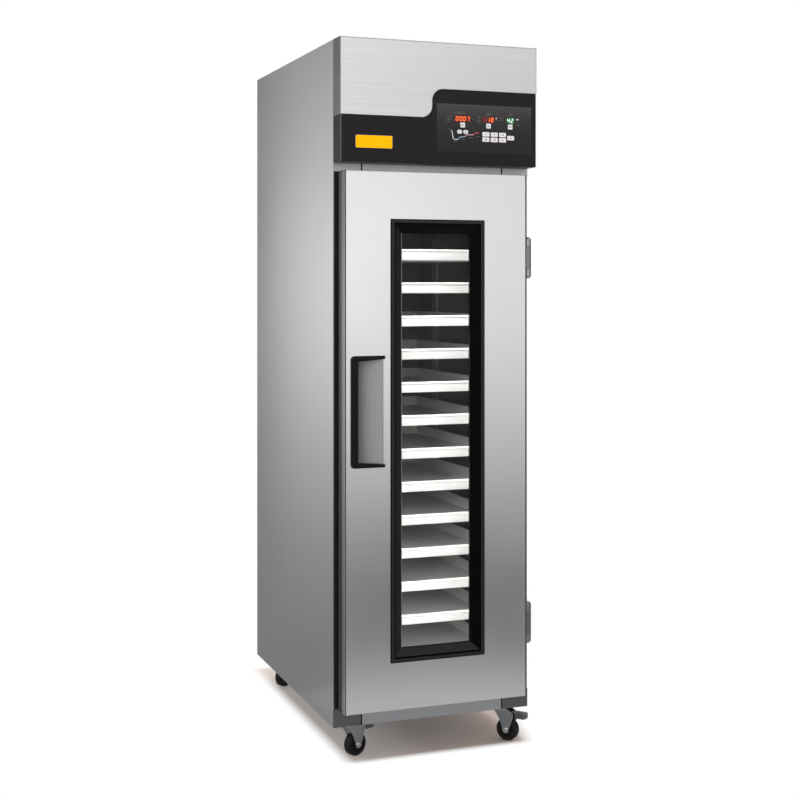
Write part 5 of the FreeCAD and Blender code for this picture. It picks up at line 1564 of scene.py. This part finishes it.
@dataclass
class BarSeams:
    """Black strips that fill the seams between the bars and their end caps."""

    sunk: float = 0.4 * MM
    trim: float = 0.15 * MM

    def build(self) -> None:
        """Make a strip in every seam of the base bar and the head rail."""
        boxes = islands("front_bars")
        middle = sum(low.z + high.z for low, high in boxes) / (2 * len(boxes))
        shape = Shape()
        for lower in (True, False):
            bar = [box for box in boxes if (box[0].z < middle) == lower]
            for (low, left_high), (right_low, high) in zip(bar, bar[1:]):
                corner = (left_high.x, low.z + self.trim)
                far = (right_low.x, high.z - self.trim)
                shape.slab(round_rect(corner, far, 2 * self.trim, 2), low.y + self.sunk, high.y)
        shape.piece("seam_strips", "cabinet", [SEAM_BLACK])


@dataclass
class Fasteners:
    """Screws that close the back and hold brackets and casters."""

    margin: float = 12.0 * MM
    rows: int = 9
    columns: int = 4
    plate_inset: float = 8.0 * MM
    plate_wall: float = 2.5 * MM
    bracket_wall: float = 3.0 * MM
    bracket_inset: float = 5.0 * MM
    bracket_rise: float = 20.0 * MM
    bracket_tall: float = 108.0 * MM

    def back(self) -> None:
        """Make the screws round the back sheet."""
        low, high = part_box("back_panel")
        x0, x1 = low.x + self.margin, high.x - self.margin
        z0, z1 = low.z + self.margin, high.z - self.margin
        places = [(x, z0 + (z1 - z0) * row / (self.rows - 1)) for row in range(self.rows) for x in (x0, x1)]
        places += [(x0 + (x1 - x0) * (column + 1) / (self.columns + 1), z)
                   for column in range(self.columns) for z in (z0, z1)]
        Screws().build("back_screws", "cabinet",
                       [(Vector((x, high.y, z)), Vector((0, 1, 0))) for x, z in places])

    def brackets(self) -> None:
        """Make the screws of the hinge brackets."""
        low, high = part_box("hinge_brackets")
        x = high.x - self.bracket_inset
        y = high.y - self.bracket_wall
        places = []
        for middle in (low.z + self.bracket_tall / 2, high.z - self.bracket_tall / 2):
            for z in (middle - self.bracket_rise, middle, middle + self.bracket_rise):
                places.append((Vector((x, y, z)), Vector((0, -1, 0))))
        Screws(head=3.6 * MM).build("bracket_screws", "cabinet", places)

    def plates(self) -> None:
        """Make the bolts of the caster plates."""
        places = []
        for low, high in islands("caster_plates"):
            for x in (low.x + self.plate_inset, high.x - self.plate_inset):
                for y in (low.y + self.plate_inset, high.y - self.plate_inset):
                    places.append((Vector((x, y, high.z - self.plate_wall)), Vector((0, 0, -1))))
        Screws(head=5.0 * MM, height=3.0 * MM, socket=2.4 * MM).build("plate_bolts", "cabinet", places)

    def build(self) -> None:
        """Make every group of screws."""
        self.back()
        self.brackets()
        self.plates()


@dataclass
class Dressing:
    """Gives every node of the frame its finish."""

    finishes: dict[str, Finish] = field(default_factory=lambda: dict(NODE_FINISHES))

    def plate(self) -> GradedPlate:
        """Finish of the operating plate, with a painted sheen graded over its own height."""
        low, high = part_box("overlay_plate")
        return GradedPlate("plate_gloss", (0.014, 0.014, 0.015), 0.28, (0.06, 0.06, 0.06), low.z, high.z)

    def build(self) -> None:
        """Put the finishes on the nodes."""
        self.finishes["overlay_plate"] = self.plate()
        for name, node in frame["nodes"].items():
            finish = self.finishes.get(name) or TAIL_FINISHES[
                next(part for part in name.split("_")[::-1] if part in TAIL_FINISHES)]
            node.data.materials.clear()
            node.data.materials.append(finish.material())
            log.info("%s dressed in %s", name, finish.name)


class Along(Enum):
    """What a card's glow is graded along."""

    X = "X"
    Y = "Y"
    Z = "Z"
    RADIUS = "radius"


@dataclass(frozen=True)
class Card:
    """Glow of a sheet that only reflections see, graded along one measure and eased along another.

    The glow is base + rise * gain. Rise runs along the first measure and gain along the second,
    each as pairs of a place and a value.
    """

    name: str
    along: Along
    rises: tuple[Flat, ...]
    base: float = 0.0
    across: Along = Along.X
    gain: tuple[Flat, ...] = ((0.0, 1.0), (1.0, 1.0))

    def measure(self, graph: Graph, along: Along) -> Socket:
        """Read a measure at the shaded point.

        Args:
            graph: The material's nodes.
            along: The measure.

        Returns:
            A coordinate, or the distance from the middle of the floor.
        """
        place = graph.surface("Position")
        if along is not Along.RADIUS:
            return graph.parts(place)[along.value]
        length = graph.node("ShaderNodeVectorMath", operation="LENGTH")
        graph.feed(length.inputs[0], place)
        return length.outputs["Value"]

    def graded(self, graph: Graph, along: Along, stops: Sequence[Flat]) -> Socket:
        """Run a value through stops along a measure.

        Args:
            graph: The material's nodes.
            along: The measure.
            stops: Place and value of each stop.

        Returns:
            The value.
        """
        low, high = stops[0][0], stops[-1][0]
        share = graph.spread(self.measure(graph, along), low, high)
        return graph.ramp(share, [((place - low) / (high - low), (value,) * 3) for place, value in stops])

    def material(self) -> bpy.types.Material:
        """Build the glow.

        Returns:
            The material.
        """
        made = bpy.data.materials.new(self.name)
        made.use_nodes = True
        made.node_tree.nodes.clear()
        graph = Graph(made.node_tree)
        rise = self.graded(graph, self.along, self.rises)
        eased = graph.maths("MULTIPLY", rise, self.graded(graph, self.across, self.gain))
        glow = graph.node("ShaderNodeEmission")
        graph.feed(glow.inputs["Color"], WHITE)
        graph.feed(glow.inputs["Strength"], graph.maths("ADD", eased, self.base))
        graph.feed(graph.node("ShaderNodeOutputMaterial").inputs["Surface"], glow.outputs[0])
        return made


SURROUND_CARD = Card("surround_card", Along.Z, (
    (0.0, 0.48), (0.5, 0.76), (1.0, 1.0), (1.9, 1.0), (2.25, 0.72), (2.6, 0.76), (2.95, 1.0), (3.4, 1.0),
), gain=((1.5, 1.0), (2.5, 0.75), (3.1, 0.75), (3.9, 1.0)))
FLOOR_CARD = Card("floor_card", Along.RADIUS, (
    (0.30, 0.18), (0.55, 0.40), (0.95, 0.48), (1.5, 0.16), (2.4, 0.04), (3.6, 0.22), (6.0, 0.45),
))
SIDE_CARD = Card("side_card", Along.Z, (
    (0.0, 0.0), (0.33, 0.08), (0.66, 0.24), (1.0, 0.44), (1.2, 0.50), (1.4, 0.46), (1.7, 0.28), (2.4, 0.0),
), base=0.22, gain=((-0.64, 1.45), (-0.52, 0.90), (-0.40, 0.0)))
RIGHT_CARD = Card("right_card", Along.Y, ((-1.4, 0.05), (-0.4, 0.06), (0.3, 0.35), (1.0, 0.60), (1.6, 0.60)))
ROOF_CARD = Card("roof_card", Along.X, ((-1.5, 0.30), (1.5, 0.25)))


@dataclass
class Studio:
    """Floor, light, reflection cards and camera."""

    floor_radius: float = 6.0
    floor_middle: float = 0.01
    floor_colour: Colour = (0.92, 0.84, 0.79)
    floor_patch: float = 3.0
    floor_tone: float = 0.985
    floor_rough: float = 0.9
    ring_steps: int = 96
    surround_height: float = 3.4
    floor_card_rise: float = 1.0 * MM
    side_card_bend: tuple[Flat, ...] = ((0.25, 2.0 * MM), (0.80, 2.0 * MM), (0.80, 2.4))
    side_card_ends: Flat = (-0.30, -1.6)
    right_card_x: float = 1.5
    right_card_ends: Flat = (-1.4, 1.6)
    right_card_height: float = 2.6
    roof_card_ends: Flat = (-1.5, 1.5)
    roof_card_height: float = 3.2
    shadow_low: Flat = (-0.20, -0.335)
    shadow_high: Flat = (0.255, 0.56)
    shadow_lean: float = 0.22
    shadow_fade: Flat = (0.045, 0.035)
    shadow_thin: tuple[Flat, Flat] = ((-0.22, 0.02), (0.20, 0.03))
    sky: float = 0.62
    sky_colour: Colour = (1.0, 0.86, 0.78)
    lamp_place: tuple[float, float, float] = (-0.4, -0.8, 3.6)
    lamp_size: Flat = (2.6, 2.6)
    lamp_colour: Colour = (0.95, 1.0, 1.05)
    lamp_power: float = 105.0
    strip_lead: float = 33.0 * MM
    strip_rise: float = 10.0 * MM
    strip_drop: float = 11.0 * MM
    strip_share: float = 0.9
    strip_width: float = 8.0 * MM
    strip_colour: Colour = (1.0, 0.97, 0.93)
    strip_power: float = 0.165
    camera_place: tuple[float, float, float] = (-1.3504, -3.7534, 1.2137)
    camera_turn: float = -20.34
    sensor: float = 36.0
    lens: float = 63.5
    shift: float = -0.1443

    def sheet(self, name: str, rows: Sequence[Sequence[Vector]]) -> bpy.types.Object:
        """Make an open sheet.

        Args:
            name: The sheet's name.
            rows: Rows of points that it runs through.

        Returns:
            The new object.
        """
        mesh = bpy.data.meshes.new(name)
        count = len(rows[0])
        firsts = [row * count + step for row in range(len(rows) - 1) for step in range(count - 1)]
        faces = [(first, first + 1, first + count + 1, first + count) for first in firsts]
        mesh.from_pydata([point for row in rows for point in row], [], faces)
        made = bpy.data.objects.new(name, mesh)
        bpy.context.scene.collection.objects.link(made)
        return made

    def card(self, card: Card, rows: Sequence[Sequence[Vector]]) -> None:
        """Hang a card for reflections only.

        Args:
            card: The card's glow.
            rows: Rows of points that it runs through.
        """
        made = self.sheet(card.name, rows)
        made.data.materials.append(card.material())
        made.visible_camera = False
        made.visible_diffuse = False
        made.visible_transmission = False
        made.visible_shadow = False

    def ring(self, radius: float, z: float) -> list[Vector]:
        """Closed ring of points about the middle of the floor."""
        turns = [2 * math.pi * step / self.ring_steps for step in range(self.ring_steps + 1)]
        return [Vector((radius * math.cos(turn), radius * math.sin(turn), z)) for turn in turns]

    def cards(self) -> None:
        """Hang a ring of card round the object, one on the floor, one on each side and one overhead."""
        wide = self.floor_radius
        rise = self.floor_card_rise
        self.card(SURROUND_CARD, [self.ring(wide, z) for z in (0.0, self.surround_height)])
        self.card(FLOOR_CARD, [self.ring(radius, rise) for radius in (self.floor_middle, wide)])
        self.card(SIDE_CARD, [[Vector((x, y, z)) for x in self.side_card_ends]
                              for y, z in self.side_card_bend])
        self.card(RIGHT_CARD, [[Vector((self.right_card_x, y, z)) for y in self.right_card_ends]
                               for z in (0.0, self.right_card_height)])
        self.card(ROOF_CARD, [[Vector((x, y, self.roof_card_height)) for x in self.roof_card_ends]
                              for y in self.roof_card_ends])

    def floor(self) -> None:
        """Lay the pale floor, which turns into the white background away from the object."""
        radii = (self.floor_middle, self.floor_radius)
        made = self.sheet("floor", [self.ring(radius, 0.0) for radius in radii])
        material = bpy.data.materials.new("floor_paper")
        material.use_nodes = True
        graph = Graph(material.node_tree)
        surface = material.node_tree.nodes["Principled BSDF"]
        patches = graph.group(Effect.PATCHES, size=self.floor_patch).outputs["Patches"]
        paper = graph.blend(patches, self.floor_colour, shade(self.floor_colour, self.floor_tone))
        graph.feed(surface.inputs["Base Color"], paper)
        graph.feed(surface.inputs["Roughness"], self.floor_rough)
        graph.feed(surface.inputs["Specular IOR Level"], 0.0)
        mix = graph.node("ShaderNodeMixShader")
        graph.feed(mix.inputs[0], graph.maths("MULTIPLY", self.beyond(graph), self.seen(graph)))
        graph.feed(mix.inputs[1], surface.outputs[0])
        white = graph.node("ShaderNodeEmission")
        graph.feed(white.inputs["Color"], WHITE)
        graph.feed(mix.inputs[2], white.outputs[0])
        graph.feed(material.node_tree.nodes["Material Output"].inputs["Surface"], mix.outputs[0])
        made.data.materials.append(material)

    def beyond(self, graph: Graph) -> Socket:
        """Mask what lies beyond the object's shadow on the floor.

        Args:
            graph: The material's nodes.

        Returns:
            A mask that rises from the shadow to the white round it.
        """
        place = graph.parts(graph.surface("Position"))
        x, y = place["X"], place["Y"]
        lean = graph.maths("MULTIPLY", graph.maths("SUBTRACT", y, self.shadow_low[1]), self.shadow_lean)
        ends = ((x, graph.maths("SUBTRACT", x, lean)), (y, y))
        squares = []
        for (near, far), low, high, fade in zip(ends, self.shadow_low, self.shadow_high, self.shadow_fade):
            before = graph.maths("SUBTRACT", low, near)
            behind = graph.maths("SUBTRACT", far, high)
            past = graph.maths("DIVIDE", graph.maths("MAXIMUM", before, behind), fade)
            squares.append(graph.maths("POWER", graph.maths("MAXIMUM", past, 0.0), 2.0))
        away = graph.maths("SQRT", graph.maths("ADD", *squares))
        # White is also painted into the floor's shadow, a fifth at its left end and little to the right:
        # painted light that thins the shadow there.
        (start, end), (thin, deep) = self.shadow_thin
        return graph.maths("MAXIMUM", graph.spread(away, 0.0, 1.0), graph.spread(x, start, end, thin, deep))

    def seen(self, graph: Graph) -> Socket:
        """Mask the rays that show the background.

        Args:
            graph: Nodes of a material or world.

        Returns:
            The mask of camera rays, reflections and rays through glass.
        """
        rays = graph.node("ShaderNodeLightPath")
        both = graph.maths("MAXIMUM", rays.outputs["Is Camera Ray"], rays.outputs["Is Glossy Ray"])
        return graph.maths("MAXIMUM", both, rays.outputs["Is Transmission Ray"])

    def world(self) -> None:
        """White background where it is seen, and an even sky for the rest."""
        world = bpy.data.worlds.new("studio")
        bpy.context.scene.world = world
        world.use_nodes = True
        world.node_tree.nodes.clear()
        graph = Graph(world.node_tree)
        mix = graph.node("ShaderNodeMixShader")
        graph.feed(mix.inputs[0], self.seen(graph))
        for socket, strength, colour in ((1, self.sky, self.sky_colour), (2, 1.0, (1.0, 1.0, 1.0))):
            background = graph.node("ShaderNodeBackground")
            graph.feed(background.inputs["Strength"], strength)
            graph.feed(background.inputs["Color"], (*colour, 1.0))
            graph.feed(mix.inputs[socket], background.outputs[0])
        graph.feed(graph.node("ShaderNodeOutputWorld").inputs["Surface"], mix.outputs[0])

    def lamp(self, name: str, place: Vector, aim: Vector, size: Flat, power: float, colour: Colour) -> None:
        """Add a soft rectangular lamp that lights, and is seen by nothing.

        Args:
            name: The lamp's name.
            place: Its middle.
            aim: The point that it faces.
            size: Its two sides.
            power: Its power in watts.
            colour: Colour of its light.
        """
        data = bpy.data.lights.new(name, "AREA")
        data.shape = "RECTANGLE"
        data.size, data.size_y = size
        data.energy = power
        data.color = colour
        made = bpy.data.objects.new(name, data)
        made.matrix_world = outward(place, place - aim)
        made.visible_camera = False
        made.visible_glossy = False
        made.visible_transmission = False
        bpy.context.scene.collection.objects.link(made)

    def lamps(self) -> None:
        """Hang a soft box overhead, and a strip before every tray that shines down on its rim."""
        self.lamp("overhead", Vector(self.lamp_place), Vector(), self.lamp_size, self.lamp_power,
                  self.lamp_colour)
        low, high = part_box("trays")
        stack = TrayStack()
        size = (self.strip_share * (high.x - low.x), self.strip_width)
        for row, base in enumerate(stack.bases()):
            rim = base + stack.height
            place = Vector((0.0, low.y - self.strip_lead, rim + self.strip_rise))
            aim = Vector((0.0, low.y, rim - self.strip_drop))
            self.lamp(f"tray_strip_{row + 1}", place, aim, size, self.strip_power, self.strip_colour)

    def camera(self) -> None:
        """Set the camera where the view is taken from."""
        data = bpy.data.cameras.new("camera")
        data.lens = self.lens
        data.sensor_width = self.sensor
        data.shift_y = self.shift
        made = bpy.data.objects.new("camera", data)
        made.location = self.camera_place
        made.rotation_euler = (math.radians(90.0), 0.0, math.radians(self.camera_turn))
        bpy.context.scene.collection.objects.link(made)
        bpy.context.scene.camera = made

    def build(self) -> None:
        """Set the whole stage."""
        bpy.context.scene.view_settings.view_transform = "Standard"
        self.camera()
        self.world()
        self.lamps()
        self.floor()
        self.cards()


def main() -> None:
    """Dress the frame, add its fine pieces and set the stage."""
    logging.basicConfig(level=logging.INFO, format="%(name)s: %(message)s")
    Dressing().build()
    for assembly in (DoorTrim, BarSeams, Badge, Digits, PlatePrint, KeyMarks, TrayStack, Fasteners):
        assembly().build()
    for place in ("front_left", "front_right", "rear_left", "rear_right"):
        Caster(place).build()
    for place in ("front_left", "front_right"):
        PedalTread(place).build()
    Studio().build()


if __name__ == "__main__":
    main()
